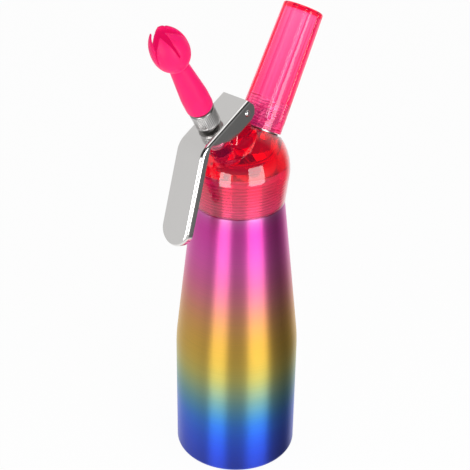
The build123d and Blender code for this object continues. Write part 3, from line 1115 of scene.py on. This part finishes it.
@dataclass
class Bottle:
    """Spun bottle with a threaded neck, lacquered inside.

    The lining takes the faces that look inward or upward by those shares, the latter only within
    the floor_zone in mm above the base.
    """

    body_r: float = 39.0
    wall: float = 1.2
    base: float = 2.0
    waist: float = 82.4
    blend: float = 130.0
    foot_edge: float = 3.0
    floor_edge: float = 1.8
    shoulder_r: float = 28.1
    shoulder: float = 180.5
    shoulder_edge: float = 0.8
    neck_r: float = 25.3
    neck_wall: float = 2.2
    mouth: float = 203.0
    lip_edges: Pair = (0.7, 0.5)
    pitch: float = 2.0
    thread_span: Span = (181.6, 201.0)
    thread_depth: float = 0.45
    fine_span: Span = (181.0, 202.0)
    columns: int = 160
    inward: float = 0.02
    upward: float = 0.9
    floor_zone: float = 10.0

    def thread(self) -> Thread:
        """The thread on the neck."""
        return Thread(self.neck_r, self.pitch, self.thread_span, self.thread_depth)

    def profile(self) -> Profile:
        """Outside and inside walls.

        Returns:
            One line from pole to pole.
        """
        inside = self.shoulder - self.wall
        bore_r, inner_r = self.neck_r - self.neck_wall, self.body_r - self.wall
        corners = (
            (0, 0),
            (self.body_r, 0, self.foot_edge),
            (self.body_r, self.waist, self.blend),
            (self.shoulder_r, self.shoulder, self.shoulder_edge),
            (self.neck_r, self.shoulder),
            (self.neck_r, self.mouth, self.lip_edges[0]),
            (bore_r, self.mouth, self.lip_edges[1]),
            (bore_r, inside),
            (self.shoulder_r - self.wall, inside - self.wall),
            (inner_r, self.waist, self.blend - self.wall),
            (inner_r, self.base, self.floor_edge),
            (0, self.base),
        )
        return resampled(rounded(corners, step=2), step=4.0, span=self.fine_span)

    def line(self, piece: Piece) -> None:
        """Gives the lining to the faces that face the axis or look up from the floor.

        A face looks inwards where its normal times the radial direction is below zero.

        Args:
            piece: the bottle, with its outer finish.
        """
        mesh = piece.data
        mesh.materials.append(LINING.material())
        middles, normals = np.empty((2, len(mesh.polygons) * 3))
        mesh.polygons.foreach_get("center", middles)
        mesh.polygons.foreach_get("normal", normals)
        middles, normals = middles.reshape(-1, 3), normals.reshape(-1, 3)
        radius = np.linalg.norm(middles[:, :2], axis=1)
        outward = (middles[:, :2] * normals[:, :2]).sum(axis=1) / radius
        floor = (normals[:, 2] > self.upward) & (middles[:, 2] < self.floor_zone * MM)
        lined = (outward < -self.inward) | floor
        mesh.polygons.foreach_set("material_index", lined.astype(np.int32))

    def build(self) -> None:
        """Makes and dresses the bottle."""
        thread = self.thread()
        piece = lathe("bottle_shell", Axis.BOTTLE, self.profile(), self.columns, thread.outside)
        store_painted_shade(piece, Axis.BOTTLE, thread.groove)
        dress(smooth(piece), FADE, "bottle", "bottle", "bottle")
        self.line(piece)


@dataclass
class Head:
    """Clear head: skirt and dome, valve boss, flats, pin lug, and the thread and hollow inside.

    The boss and the bores are steps, as stepped() takes them. The lug's foot is its width and
    height, and the pivot its eye's X and Z.
    """

    rim_z: float = 180.9
    rim_r: float = 28.4
    rim_edge: float = 0.7
    dome_r: float = 30.7
    dome_z: float = 201.5
    dome_points: int = 64
    cavity_r: float = 16.0
    cavity_top: float = 210.0
    cavity_edge: float = 2.0
    bore_r: float = 25.7
    ledge: float = 205.0
    overrun: float = 5.0
    flat_r: float = 60.0
    flat_top: float = 90.0
    valve_flat: float = 31.5
    port_flat: float = 33.0
    boss_foot: float = 27.6
    boss: Corner = (7.9, 43.0, 0.5)
    bore_foot: float = 12.0
    valve_bore: tuple[Corner, ...] = ((7.2, 27.6), (5.06, 36.5), (6.0, 48.0))
    port_bore: tuple[Corner, ...] = ((10.2, 27.4), (6.5, 31.9), (8.9, 38.0))
    pivot: Pair = (-5.0, 241.3)
    lug_r: float = 4.4
    lug_points: int = 48
    lug_foot: Pair = (14.0, 220.0)
    lug_half: float = 8.5
    lug_edge: float = 0.7
    pitch: float = 2.0
    thread_span: Span = (181.6, 201.0)
    thread_depth: float = 0.12
    fine_span: Span = (180.0, 202.0)
    columns: int = 200

    def shell(self) -> Piece:
        """Skirt and dome: the skirt's side runs up to where it touches the dome's circle.

        Returns:
            A solid down to the rim.
        """
        rise = self.dome_z - self.rim_z
        touch = math.acos(self.dome_r / math.hypot(self.rim_r, rise)) - math.atan2(rise, self.rim_r)
        angle = np.linspace(touch, math.pi / 2, self.dome_points)
        radii, heights = self.dome_r * np.cos(angle), self.dome_z + self.dome_r * np.sin(angle)
        arc = np.stack([radii, heights], axis=1)
        corners = ((0, self.rim_z), (self.rim_r, self.rim_z, self.rim_edge), tuple(arc[0]))
        profile = np.concatenate([rounded(corners, step=12), arc[1:]])
        profile = resampled(profile, step=1.5)
        profile[-1, 0] = 0.0
        return lathe("head_moulding", Axis.BOTTLE, profile, self.columns)

    def hollow(self) -> Piece:
        """Threaded bore and cavity, with the thread's roots cut outwards into the skirt.

        Returns:
            The tool.
        """
        cavity = (self.cavity_r, self.cavity_top, self.cavity_edge)
        corners = stepped(self.rim_z - self.overrun, (self.bore_r, self.ledge), cavity)
        profile = resampled(rounded(corners, step=10), step=1.5, span=self.fine_span)
        thread = Thread(self.bore_r, self.pitch, self.thread_span, self.thread_depth)
        return lathe("hollow_tool", Axis.BOTTLE, profile, self.columns, thread.inside)

    def lug(self) -> Piece:
        """Web that carries the pin: the hull of its eye and its foot, run across.

        Returns:
            The tool.
        """
        angle = np.arange(self.lug_points) / self.lug_points * TURN
        eye = np.stack([np.cos(angle), np.sin(angle)], axis=1) * self.lug_r + self.pivot
        width, foot = self.lug_foot
        corners = [(self.pivot[0] - width / 2, foot), (self.pivot[0] + width / 2, foot)]
        every = np.concatenate([eye, corners])
        outline = every[convex_hull_2d([Vector(point) for point in every])]
        grid = prism(outline, -self.lug_half, self.lug_half, self.lug_edge)
        return grid_piece("lug_tool", grid[..., [0, 2, 1]] * MM)

    def turned(self, name: str, axis: Axis, start: float, *steps: Corner) -> Piece:
        """A stepped tool.

        Args:
            name: the tool's name.
            axis: what it is turned about.
            start: its lowest height along the axis.
            *steps: as stepped() takes them.

        Returns:
            The tool.
        """
        return lathe(name, axis, rounded(stepped(start, *steps), step=15), columns=96)

    def tools(self) -> list[tuple[Piece, Cut]]:
        """Everything that is added to the dome or cut from it.

        Returns:
            The tools in order, each with what it does.
        """
        above = (self.flat_r, self.flat_top)
        valve, port = Axis.VALVE, Axis.PORT
        return [
            (self.turned("flat_a", valve, self.valve_flat, above), Cut.TAKE),
            (self.turned("flat_b", port, self.port_flat, above), Cut.TAKE),
            (self.turned("boss", valve, self.boss_foot, self.boss), Cut.ADD),
            (self.lug(), Cut.ADD),
            (self.hollow(), Cut.TAKE),
            (self.turned("valve_bore", valve, self.bore_foot, *self.valve_bore), Cut.TAKE),
            (self.turned("port_bore", port, self.bore_foot, *self.port_bore), Cut.TAKE),
        ]

    def build(self) -> None:
        """Makes and dresses the head."""
        piece = carve(self.shell(), self.tools())
        dress(smooth(piece, degrees=28), HEAD_RED, "head", "head", "head_cap")


@dataclass
class Lever:
    """Pressed lever with softened sheet edges, and its pin."""

    def build(self) -> None:
        """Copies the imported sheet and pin, and smooths their bends."""
        sheet = merged_copy("lever", "lever_sheet")
        weighted = sheet.modifiers.new("weights", "WEIGHTED_NORMAL")
        weighted.keep_sharp = True
        dress(sheet, SATIN_STEEL, "lever", "lever", "lever")
        pin = merged_copy("lever_pin", "lever_pin_rod")
        dress(pin, BRIGHT_STEEL, "head", "bright_steel", "lever_pin")


@dataclass
class NozzleAdapter:
    """Knurled collar and spout screwed on the stem."""

    foot: float = 53.2
    shoulder: float = 66.0
    radius: float = 7.5
    bevel: float = 1.0
    spout_r: float = 5.0
    spout: float = 8.0
    bore: float = 2.6
    socket: float = 3.5
    step: float = 61.2
    knurl_span: Span = (55.2, 64.4)
    ridges: int = 42
    ridge_columns: int = 8
    knurl: float = 0.2
    run_in: float = 0.5
    # painted shadow: mm past the foot's bevel and down from the shoulder that are painted fully
    # dark
    foot_shade: float = 0.1
    shoulder_shade: float = 1.5

    def profile(self) -> Profile:
        """Outside, spout and bore.

        Returns:
            One ring.
        """
        top = self.shoulder + self.spout
        corners = (
            (self.socket, self.foot),
            (self.radius - self.bevel, self.foot),
            (self.radius, self.foot + self.bevel),
            (self.radius, self.shoulder - self.bevel),
            (self.radius - self.bevel, self.shoulder),
            (self.spout_r, self.shoulder),
            (self.spout_r, top),
            (self.bore, top),
            (self.bore, self.step),
            (self.socket, self.step),
        )
        return resampled(rounded(corners), step=3.0, span=self.knurl_span)

    def relief(self, at: Round) -> Grid:
        """Straight knurl: a triangle wave round the collar, faded out at both ends of its band.

        Args:
            at: points round the valve's axis.

        Returns:
            Their radii.
        """
        ridge = np.abs((at.turn * self.ridges / TURN) % 1 - 0.5) * 2
        ends = eased(at.height, self.knurl_span, self.run_in)
        cut = at.radius - self.knurl * (1 - ridge) * ends
        return np.where(at.radius > self.radius - SAME_WALL, cut, at.radius)

    def groove(self, at: Round) -> Grid:
        """How deep points lie in the knurl; the foot and the shoulder under the tip get full
        painted shadow.

        Args:
            at: points round the valve's axis.

        Returns:
            Their shares of the depth.
        """
        collar = at.radius > (self.spout_r + self.radius) / 2
        knurled = collar & within(at.height, self.knurl_span)
        # painted shadow at the foot and under the tip's edge
        below = at.height < self.foot + self.bevel + self.foot_shade
        above = at.height > self.shoulder - self.shoulder_shade
        return np.where(below | above, 1.0, knurled * (self.radius - at.radius) / self.knurl)

    def build(self) -> None:
        """Makes and dresses the adapter."""
        columns, profile = self.ridges * self.ridge_columns, self.profile()
        piece = lathe("knurled_adapter", Axis.VALVE, profile, columns, self.relief, loop=True)
        store_painted_shade(piece, Axis.VALVE, self.groove)
        dress(smooth(piece, degrees=50), KNURLED, "valve", "adapter", "nozzle_adapter")


@dataclass
class DecoratorTip:
    """Soft tulip tip: barrel, bud and petals in one moulding.

    The bulge gives the bud's side between its neck and mouth: shares of bud_r and of bud, and of
    an inset that lifts the place. The set_petals are places round the tip in degrees, with the
    turn in degrees and the spread in mm that the petals have taken there.
    """

    foot: float = 66.4
    foot_edge: float = 1.6
    radius: float = 8.0
    barrel: float = 10.0
    blend: float = 50.0
    neck_r: float = 5.5
    neck: float = 100.4
    wall: float = 1.5
    bud_r: float = 10.7
    bud: float = 25.8
    bulge: tuple[Corner, ...] = ((0.83, 0.16, 0.5), (1.0, 0.54, 0.0), (0.76, 0.85, 0.0))
    mouth_r: float = 5.2
    bore_r: float = 4.0
    socket_r: float = 5.4
    socket_top: float = 74.4
    overrun: float = 5.0
    petals: int = 5
    first: float = math.radians(-22)
    slit_root: float = 11.0
    slit_fork: float = 12.0
    slit_skew: float = 1.5
    slit_knee: float = 20.0
    slit_half: float = 0.35
    knee_half: tuple[float, ...] = (0.9, 1.3, 0.4, 2.7, 0.7)
    mouth_half: tuple[float, ...] = (2.2, 2.9, 0.9, 2.4, 2.8)
    voxel: float = 0.34
    set_petals: tuple[Corner, ...] = (
        (-112, 6, 0.0),
        (-76, 0, -1.6),
        (-40, -3, 0.0),
        (-4, -8, 0.0),
        (32, -14, 0.0),
        (68, -16, 0.0),
        (104, -17, 0.2),
        (140, -19, 0.9),
        (176, 16, 0.4),
        (212, 2, 0.0),
    )

    def side(self, inset: float) -> Profile:
        """The bud's side.

        Args:
            inset: how far it is drawn in.

        Returns:
            Its points, upwards.
        """
        points = [(self.neck_r - inset, self.neck + inset)]
        for wide, high, lift in self.bulge:
            height = self.neck + high * self.bud + lift * inset
            points.append((wide * self.bud_r - inset, height))
        points.append((self.mouth_r - inset, self.neck + self.bud))
        return spline(points, count=60)

    def barrel_tool(self) -> Piece:
        """The barrel, necked in toward the bud.

        Returns:
            A solid.
        """
        top = self.neck + self.wall
        corners = (
            (0, self.foot),
            (self.radius, self.foot, self.foot_edge),
            (self.radius, self.foot + self.barrel, self.blend),
            (self.neck_r, top),
            (0, top),
        )
        profile = resampled(rounded(corners, step=2), step=1.0)
        return lathe("tulip_tip", Axis.VALVE, profile, columns=96)

    def bud_tool(self) -> Piece:
        """The bud's shell.

        Returns:
            A cup, closed below and open at its mouth.
        """
        outer, inner = self.side(0.0), self.side(self.wall)[::-1]
        closed = np.concatenate([[(0, outer[0, 1])], outer, inner, [(0, inner[-1, 1])]])
        return lathe("bud", Axis.VALVE, closed, columns=120)

    def slit_tool(self, number: int) -> Piece:
        """A slit between two petals: narrow at its skewed root, flared between the points.

        Args:
            number: which slit.

        Returns:
            The tool.
        """
        flare = self.bud - self.slit_knee
        past = self.overrun / flare
        shift = self.slit_skew * flare / (self.bud - self.slit_fork)
        knee, mouth = self.knee_half[number], self.mouth_half[number]
        middle = np.array([self.slit_skew, self.slit_skew, shift, -shift * past])
        widest = knee + (mouth - knee) * (1 + past)
        half = np.array([self.slit_half, self.slit_half, knee, widest])
        top = self.bud + self.overrun
        height = self.neck + np.array([self.slit_root, self.slit_fork, self.slit_knee, top])
        right = np.stack([middle + half, height], axis=1)
        left = np.stack([middle - half, height], axis=1)
        grid = prism(np.concatenate([right, left[::-1]]), 0.0, 2 * self.bud_r)
        turn = self.first + number * TURN / self.petals
        across, out = grid[..., 0], -grid[..., 2]
        x = across * math.cos(turn) - out * math.sin(turn)
        y = across * math.sin(turn) + out * math.cos(turn)
        return grid_piece(f"slit_{number}", Axis.VALVE.place(np.stack([x, y, grid[..., 1]], -1)))

    def passage_tool(self) -> Piece:
        """The way through the barrel, with the socket for the spout.

        Returns:
            The tool.
        """
        socket = (self.socket_r, self.socket_top)
        bore = (self.bore_r, self.neck + 2 * self.wall)
        corners = stepped(self.foot - self.overrun, socket, bore)
        return lathe("passage", Axis.VALVE, rounded(corners), columns=72)

    def bend(self, piece: Piece) -> None:
        """Bends the petals the way they have taken a set, more and more from the fork to the mouth.

        With s from 0 at the fork to 1 at the mouth, a point turns about the axis by its angle's
        turn times s and moves away from the axis by its angle's spread times s^2. Both run
        straight between the places of set_petals.

        Args:
            piece: the tip, in the shared frame.
        """
        at = Round.read(piece, Axis.VALVE)
        fork = self.neck + self.slit_fork
        share = np.clip((at.height - fork) / (self.bud - self.slit_fork), 0, 1)
        places, turns, spreads = np.array(self.set_petals).T
        moved = np.radians(np.interp(np.degrees(at.turn), places, turns, period=360))
        spread = np.interp(np.degrees(at.turn), places, spreads, period=360)
        bent = Round(at.turn + moved * share, at.radius + spread * share**2, at.height)
        piece.data.vertices.foreach_set("co", Axis.VALVE.place(bent.points()).ravel())
        piece.data.update()

    def build(self) -> None:
        """Cuts the petals, softens every edge by remeshing, and dresses the tip."""
        tools = [(self.bud_tool(), Cut.ADD), (self.passage_tool(), Cut.TAKE)]
        tools += [(self.slit_tool(number), Cut.TAKE) for number in range(self.petals)]
        piece = carve(self.barrel_tool(), tools)
        remesh = piece.modifiers.new("even", "REMESH")
        remesh.mode, remesh.voxel_size = "VOXEL", self.voxel * MM
        soften = piece.modifiers.new("soften", "SMOOTH")
        soften.factor, soften.iterations = 0.5, 5
        settle(piece)
        self.bend(piece)
        piece.data.shade_smooth()
        dress(piece, PINK_SKIN, "tip", "tip", "decorator_tip")


@dataclass
class ChargerHolder:
    """Clear fluted sleeve, closed at its crown, with a thread inside its foot."""

    foot: float = 34.3
    foot_r: float = 13.85
    foot_edge: float = 0.3
    top: float = 109.7
    top_r: float = 12.35
    top_edge: float = 1.4
    crown: float = 1.0
    roof: float = 2.8
    roof_edge: float = 0.8
    bore_r: float = 9.6
    thread_r: float = 10.6
    thread_top: float = 52.8
    thread_in: float = 0.5
    thread_depth: float = 0.7
    # mm past the thread's roots that still get painted shade
    shade_margin: float = 0.1
    pitch: float = 1.75
    flutes: int = 10
    flute_columns: int = 24
    flute_r: float = 2.6
    flute_depth: float = 0.55
    flute_start: float = 7.0
    flute_turn: float = math.radians(13)

    def thread(self) -> Thread:
        """The thread in the foot's bore."""
        span = (self.foot + self.thread_in, self.thread_top)
        return Thread(self.thread_r, self.pitch, span, self.thread_depth)

    def profile(self) -> Profile:
        """Bore and outside.

        Returns:
            One line from pole to pole.
        """
        roof = self.top - self.roof
        corners = (
            (0, roof),
            (self.bore_r, roof, self.roof_edge),
            (self.bore_r, self.thread_top),
            (self.thread_r, self.thread_top),
            (self.thread_r, self.foot),
            (self.foot_r, self.foot, self.foot_edge),
            (self.top_r, self.top, self.top_edge),
            (0, self.top + self.crown),
        )
        threaded = (self.foot, self.thread_top)
        return resampled(rounded(corners, step=10), step=1.5, span=threaded, fine=0.3)

    def line_radius(self, height: Grid) -> Grid:
        """How far the line down the middle of each flute's cylinder lies from the axis."""
        lean = (self.foot_r - self.top_r) / (self.top - self.foot)
        return self.foot_r - lean * (height - self.foot) + self.flute_r - self.flute_depth

    def spread(self, at: Round) -> Grid:
        """Moves the columns so that a quarter of each sector to each side ends on the flute's edge.

        The edge is where circles of the side's radius R and of the flute's radius r about the
        line at radius L cross, at the angle whose cosine is (R^2 + L^2 - r^2) / 2RL.

        Args:
            at: points in even columns.

        Returns:
            Their new angles.
        """
        line = self.line_radius(at.height)
        side = line - self.flute_r + self.flute_depth
        edge = np.arccos((side**2 + line**2 - self.flute_r**2) / (2 * side * line))
        sector = TURN / self.flutes
        share = ((at.turn - self.flute_turn) / sector + 0.5) % 1 - 0.5
        reach = np.abs(share)
        beyond = edge + (reach - 0.25) * 4 * (sector / 2 - edge)
        moved = np.where(reach < 0.25, reach * 4 * edge, beyond)
        return at.turn - share * sector + np.sign(share) * moved

    def relief(self, at: Round) -> Grid:
        """Scoops a round groove along each flute's line and runs a thread round the foot's bore.

        A point inside a flute's cylinder moves in to R cos a - sqrt(r^2 - R^2 sin^2 a), where R
        is the radius of the cylinder's line and a the angle from it.

        Args:
            at: points round the port's axis.

        Returns:
            Their radii.
        """
        sector = TURN / self.flutes
        off = (at.turn - self.flute_turn + sector / 2) % sector - sector / 2
        line = self.line_radius(at.height)
        before = np.minimum(0, at.height - self.foot - self.flute_start)
        reach = self.flute_r**2 - before**2 - (line * np.sin(off)) ** 2
        scooped = line * np.cos(off) - np.sqrt(np.maximum(reach, 0))
        outside = at.radius > (self.thread_r + self.top_r) / 2
        fluted = np.where(outside & (reach > 0), np.minimum(at.radius, scooped), at.radius)
        thread = self.thread()
        return np.where(thread.on_wall(at), thread.inside(at), fluted)

    def groove(self, at: Round) -> Grid:
        """How deep points lie in the roots of the foot's thread, as the share of painted shade
        there.

        Args:
            at: points round the port's axis.

        Returns:
            Their shares of the depth.
        """
        low = (self.bore_r + self.thread_r) / 2
        high = self.thread_r + self.thread_depth + self.shade_margin
        threaded = within(at.radius, (low, high)) & (at.height < self.thread_top)
        return threaded * (at.radius - self.thread_r) / self.thread_depth

    def build(self) -> None:
        """Makes and dresses the holder."""
        columns, profile = self.flutes * self.flute_columns, self.profile()
        shape = {"relief": self.relief, "spread": self.spread}
        piece = lathe("fluted_holder", Axis.PORT, profile, columns, **shape)
        store_painted_shade(piece, Axis.PORT, self.groove)
        dress(smooth(piece, degrees=30), HOLDER_PINK, "holder", "holder", "charger_holder")


@dataclass
class ChargerPort:
    """Flanged stud with the thread that the holder screws on, a shank and a spigot below."""

    flat: float = 33.0
    flange_r: float = 12.4
    flange: float = 1.0
    flange_edge: float = 0.2
    # painted shade on the flange's rim, for the shaded gap under the holder
    flange_shade: float = 0.6
    rim_gap: float = 0.5
    stud_r: float = 10.2
    stud_top: float = 47.0
    stud_edge: float = 0.5
    socket_r: float = 4.7
    socket_foot: float = 37.0
    socket_edge: float = 0.3
    shank_r: float = 6.5
    shank_foot: float = 23.8
    spigot_r: float = 3.2
    spigot_foot: float = 20.8
    gas_r: float = 1.2
    pitch: float = 1.75
    thread_depth: float = 0.6
    run_in: float = 0.8
    plain_foot: float = 1.4
    plain_top: float = 0.6
    fine_foot: float = 1.2
    columns: int = 120

    def thread(self) -> Thread:
        """The thread round the stud."""
        span = (self.flat + self.plain_foot, self.stud_top - self.plain_top)
        return Thread(self.stud_r, self.pitch, span, self.thread_depth, self.run_in)

    def profile(self) -> Profile:
        """Flange, stud, socket, gas bore, shank and spigot.

        Returns:
            One ring.
        """
        flange_top = self.flat + self.flange
        corners = (
            (self.gas_r, self.spigot_foot),
            (self.spigot_r, self.spigot_foot),
            (self.spigot_r, self.shank_foot),
            (self.shank_r, self.shank_foot),
            (self.shank_r, self.flat),
            (self.flange_r, self.flat, self.flange_edge),
            (self.flange_r, flange_top, self.flange_edge),
            (self.stud_r, flange_top),
            (self.stud_r, self.stud_top, self.stud_edge),
            (self.socket_r, self.stud_top, self.socket_edge),
            (self.socket_r, self.socket_foot),
            (self.gas_r, self.socket_foot),
        )
        fine_span = (self.flat + self.fine_foot, self.stud_top - self.plain_top)
        return resampled(rounded(corners, step=20), step=3.0, span=fine_span)

    def groove(self, at: Round) -> Grid:
        """How deep points lie between the stud's crests; the flange's rim gets a fixed share of
        painted shade.
        """
        rim = at.radius > self.stud_r + self.rim_gap
        return np.where(rim, self.flange_shade, self.thread().groove(at))

    def build(self) -> None:
        """Makes and dresses the port."""
        relief, profile = self.thread().outside, self.profile()
        piece = lathe("threaded_port", Axis.PORT, profile, self.columns, relief, loop=True)
        store_painted_shade(piece, Axis.PORT, self.groove)
        dress(smooth(piece, degrees=40), TURNED, "head", "adapter", "charger_port")


@dataclass
class Fittings:
    """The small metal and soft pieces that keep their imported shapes, by the body they ride on."""

    metal: tuple[tuple[str, tuple[str, ...]], ...] = (
        ("head", ("pin_clip", "valve_guide", "return_spring", "port_nut", "piercing_pin")),
        ("valve", ("valve_stem", "seal_nut", "spring_cap")),
    )
    soft: tuple[tuple[str, tuple[str, ...]], ...] = (
        ("gasket", ("head_gasket",)),
        ("valve", ("valve_seal", "stem_o_ring", "adapter_o_ring")),
        ("head", ("port_seal", "charger_seal", "check_valve")),
    )
    spring_span: Span = (37.55, 47.25)
    travel: float = 3.12

    def shorten(self, spring: Piece) -> None:
        """Gives the spring a mesh of its own and works out where its foot and top lie on the
        valve's axis; nothing uses them.

        Args:
            spring: the dressed spring.
        """
        foot, top = Axis.VALVE.place(np.array([[0, 0, height] for height in self.spring_span]))
        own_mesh(spring)

    def build(self) -> None:
        """Copies and dresses each of them, shaded smooth."""
        for groups, finish, slot in (
            (self.metal, BRIGHT_STEEL, "bright_steel"),
            (self.soft, SEAL_SKIN, "silicone"),
        ):
            for body, node in ((body, node) for body, nodes in groups for node in nodes):
                piece = merged_copy(node, f"{node}_part")
                dress(piece, finish, body, slot, node)
                if node == "return_spring":
                    self.shorten(piece)


# ---------------------------------------------------------------- studio


@dataclass(frozen=True)
class SoftBox:
    """An upright lamp that faces the bottle's axis.

    Its angle is in degrees from the camera's side, positive to the right. Its distance from the
    axis, the heights of its edges and its width are in metres. Its face is white at a glow of 1.
    """

    name: str
    angle: float
    distance: float
    heights: Span
    width: float
    glow: float = 4.0


@dataclass
class Studio:
    """Pale floor, white surroundings, two tall soft boxes beside the camera and one overhead.

    The edges are elevations in degrees, and the grades are greys by degrees from the camera's side.
    """

    camera_at: Triple = (-0.48055, -0.43769, 0.51670)
    azimuth: float = math.radians(-47.5)
    pitch: float = 0.5077
    roll: float = 0.0138
    lens: float = 92.19
    boxes: tuple[SoftBox, ...] = (
        SoftBox("left_box", -31, 0.5, (0.015, 0.295), 0.25),
        SoftBox("right_box", 38, 0.5, (0.054, 0.40), 0.32),
    )
    overhead_size: Pair = (0.33, 0.5)
    overhead_across: float = 0.155
    overhead_near: float = 0.14
    overhead_up: float = 0.815
    overhead_glow: float = 1.1
    floor_half: float = 3.0
    floor_grey: float = 0.9
    floor_share: float = 0.96
    ambient: float = 0.5
    floor_edge: Span = (-55, -40)
    roof_edge: Span = (-5, 20)
    roof_grade: tuple[Pair, ...] = (
        (-180, 0.75),
        (-130, 0.60),
        (-78, 0.62),
        (-62, 0.04),
        (100, 0.04),
        (135, 0.65),
        (180, 0.75),
    )
    wall_grade: tuple[Pair, ...] = (
        (-180, 0.9),
        (-150, 0.8),
        (-115, 0.60),
        (-60, 0.65),
        (0, 0.65),
        (58, 0.50),
        (72, 0.26),
        (88, 0.18),
        (98, 0.10),
        (122, 0.12),
        (145, 0.8),
        (180, 0.9),
    )

    def camera(self) -> None:
        """Stands the camera where the object is seen from."""
        right = np.array([math.cos(self.azimuth), math.sin(self.azimuth), 0])
        ahead = np.array([-math.sin(self.azimuth), math.cos(self.azimuth), 0])
        ahead = ahead * math.cos(self.pitch) - (0, 0, math.sin(self.pitch))
        up = np.cross(right, ahead)
        across = math.cos(self.roll) * right + math.sin(self.roll) * up
        upright = -math.sin(self.roll) * right + math.cos(self.roll) * up
        lens = bpy.data.cameras.new("camera")
        lens.lens, lens.sensor_width = self.lens, 36.0
        lens.clip_start, lens.clip_end = 0.01, 20.0
        turn = np.eye(4)
        turn[:3] = np.stack([across, upright, -ahead, self.camera_at], axis=1)
        made = new_piece("camera", lens)
        made.matrix_world = Matrix(turn.tolist())
        bpy.context.scene.camera = made

    def lamp(
        self, name: str, size: Pair, glow: float, place: Sequence[float], turn: Sequence[float]
    ) -> None:
        """An area lamp, of glow * pi * its area in watts, that the camera doesn't see.

        Args:
            name: the lamp's name.
            size: metres across and up.
            glow: how bright its face is, where 1 is white.
            place: its middle.
            turn: its rotation.
        """
        lamp = bpy.data.lights.new(name, "AREA")
        lamp.shape, lamp.size, lamp.size_y = "RECTANGLE", *size
        lamp.energy = glow * math.pi * size[0] * size[1]
        made = new_piece(name, lamp)
        made.location, made.rotation_euler, made.visible_camera = place, turn, False

    def soft_box(self, box: SoftBox) -> None:
        """Stands a soft box beside the camera.

        Args:
            box: the lamp to make.
        """
        toward = self.azimuth - math.pi / 2 + math.radians(box.angle)
        x, y = box.distance * math.cos(toward), box.distance * math.sin(toward)
        size = (box.width, box.heights[1] - box.heights[0])
        turn = (math.pi / 2, 0, toward + math.pi / 2)
        self.lamp(box.name, size, box.glow, (x, y, sum(box.heights) / 2), turn)

    def overhead(self) -> None:
        """A level lamp over the dome, a little toward the camera and to its right."""
        across = np.array([math.cos(self.azimuth), math.sin(self.azimuth)])
        near = np.array([math.sin(self.azimuth), -math.cos(self.azimuth)])
        middle = across * self.overhead_across + near * self.overhead_near
        place, turn = (*middle, self.overhead_up), (0, 0, self.azimuth)
        self.lamp("top_box", self.overhead_size, self.overhead_glow, place, turn)

    def by_angle(self, shader: Shader, share: Socket, grade: Sequence[Pair]) -> Socket:
        """A grey that goes round by the angle from the camera's side, as a grade gives it."""
        stops = [(place / 360 + 0.5, (tone, tone, tone)) for place, tone in grade]
        return shader.ramp(share, stops, Ramp.STRAIGHT)

    def fade(
        self, shader: Shader, height: Socket, span: Span, low: object, high: object
    ) -> Socket:
        """Goes softly from one grey to another between two elevations.

        Args:
            shader: the surroundings' shader.
            height: sine of the elevation.
            span: the two elevations in degrees.
            low: output or number below them.
            high: output or number above them.

        Returns:
            The grey.
        """
        share = shader.node("ShaderNodeMapRange", interpolation_type="SMOOTHSTEP")
        low_end, high_end = (math.sin(math.radians(edge)) for edge in span)
        shader.feed_all(share, {"Value": height, "From Min": low_end, "From Max": high_end})
        return shader.blend(share.outputs[0], low, high)

    def surroundings(self) -> None:
        """White where it is seen directly or through plastic, and a softly graded studio in gloss.

        The gloss fades with height from the floor's grey over the walls' grade to the roof's.
        """
        world = bpy.data.worlds.new("surroundings")
        world.use_nodes = True
        shader = Shader(world.node_tree)
        turned = shader.node("ShaderNodeVectorRotate", rotation_type="Z_AXIS")
        outwards = shader.node("ShaderNodeTexCoord").outputs["Generated"]
        shader.feed_all(turned, {"Vector": outwards, "Angle": math.pi / 2 - self.azimuth})
        parts = shader.parts(turned.outputs[0])
        angle = shader.math("ARCTAN2", parts["Y"], parts["X"])
        share = shader.math("ADD", shader.math("DIVIDE", angle, TURN), 0.5)
        around = self.by_angle(shader, share, self.wall_grade)
        above = self.by_angle(shader, share, self.roof_grade)
        walls = self.fade(shader, parts["Z"], self.floor_edge, self.floor_grey, around)
        graded = self.fade(shader, parts["Z"], self.roof_edge, walls, above)
        glossy = shader.node("ShaderNodeLightPath").outputs["Is Glossy Ray"]
        unseen = shader.blend(glossy, self.ambient, graded)
        strength = shader.blend(shader.seen_directly(), unseen, 1.0)
        background = world.node_tree.nodes["Background"]
        shader.feed_all(background, {"Color": (1, 1, 1, 1), "Strength": strength})
        bpy.context.scene.world = world

    def floor(self) -> None:
        """A wide pale floor that looks nearly white and keeps a soft shadow."""
        half, grey = self.floor_half, self.floor_grey
        mesh = bpy.data.meshes.new("floor")
        corners = [(-half, -half, 0), (half, -half, 0), (half, half, 0), (-half, half, 0)]
        mesh.from_pydata(corners, [], [(0, 1, 2, 3)])
        paint = bpy.data.materials.new("pale_floor")
        paint.use_nodes = True
        mesh.materials.append(paint)
        shader = Shader(paint.node_tree)
        surface = paint.node_tree.nodes["Principled BSDF"]
        matt = {"Base Color": (grey, grey, grey, 1), "Roughness": 0.9, "Specular IOR Level": 0.0}
        shader.feed_all(surface, matt)
        share = shader.math("MULTIPLY", shader.seen_directly(), self.floor_share)
        white = shader.node("ShaderNodeEmission")
        mix = shader.node("ShaderNodeMixShader")
        for entry, value in zip(mix.inputs, (share, surface.outputs[0], white.outputs[0])):
            shader.feed(entry, value)
        outlet = paint.node_tree.nodes["Material Output"]
        shader.feed(outlet.inputs["Surface"], mix.outputs[0])
        made = new_piece("floor", mesh)
        made.visible_glossy = False

    def build(self) -> None:
        """Sets the camera, surroundings, floor and lamps."""
        bpy.context.scene.view_settings.view_transform = "Standard"
        self.camera()
        self.surroundings()
        self.floor()
        for box in self.boxes:
            self.soft_box(box)
        self.overhead()


def main() -> None:
    """Builds the studio and every sub-assembly."""
    logging.basicConfig(level=logging.INFO, format="%(message)s")
    parts = (
        Studio(),
        Bottle(),
        Head(),
        Lever(),
        NozzleAdapter(),
        DecoratorTip(),
        ChargerHolder(),
        ChargerPort(),
        Fittings(),
    )
    for part in parts:
        part.build()


if __name__ == "__main__":
    main()
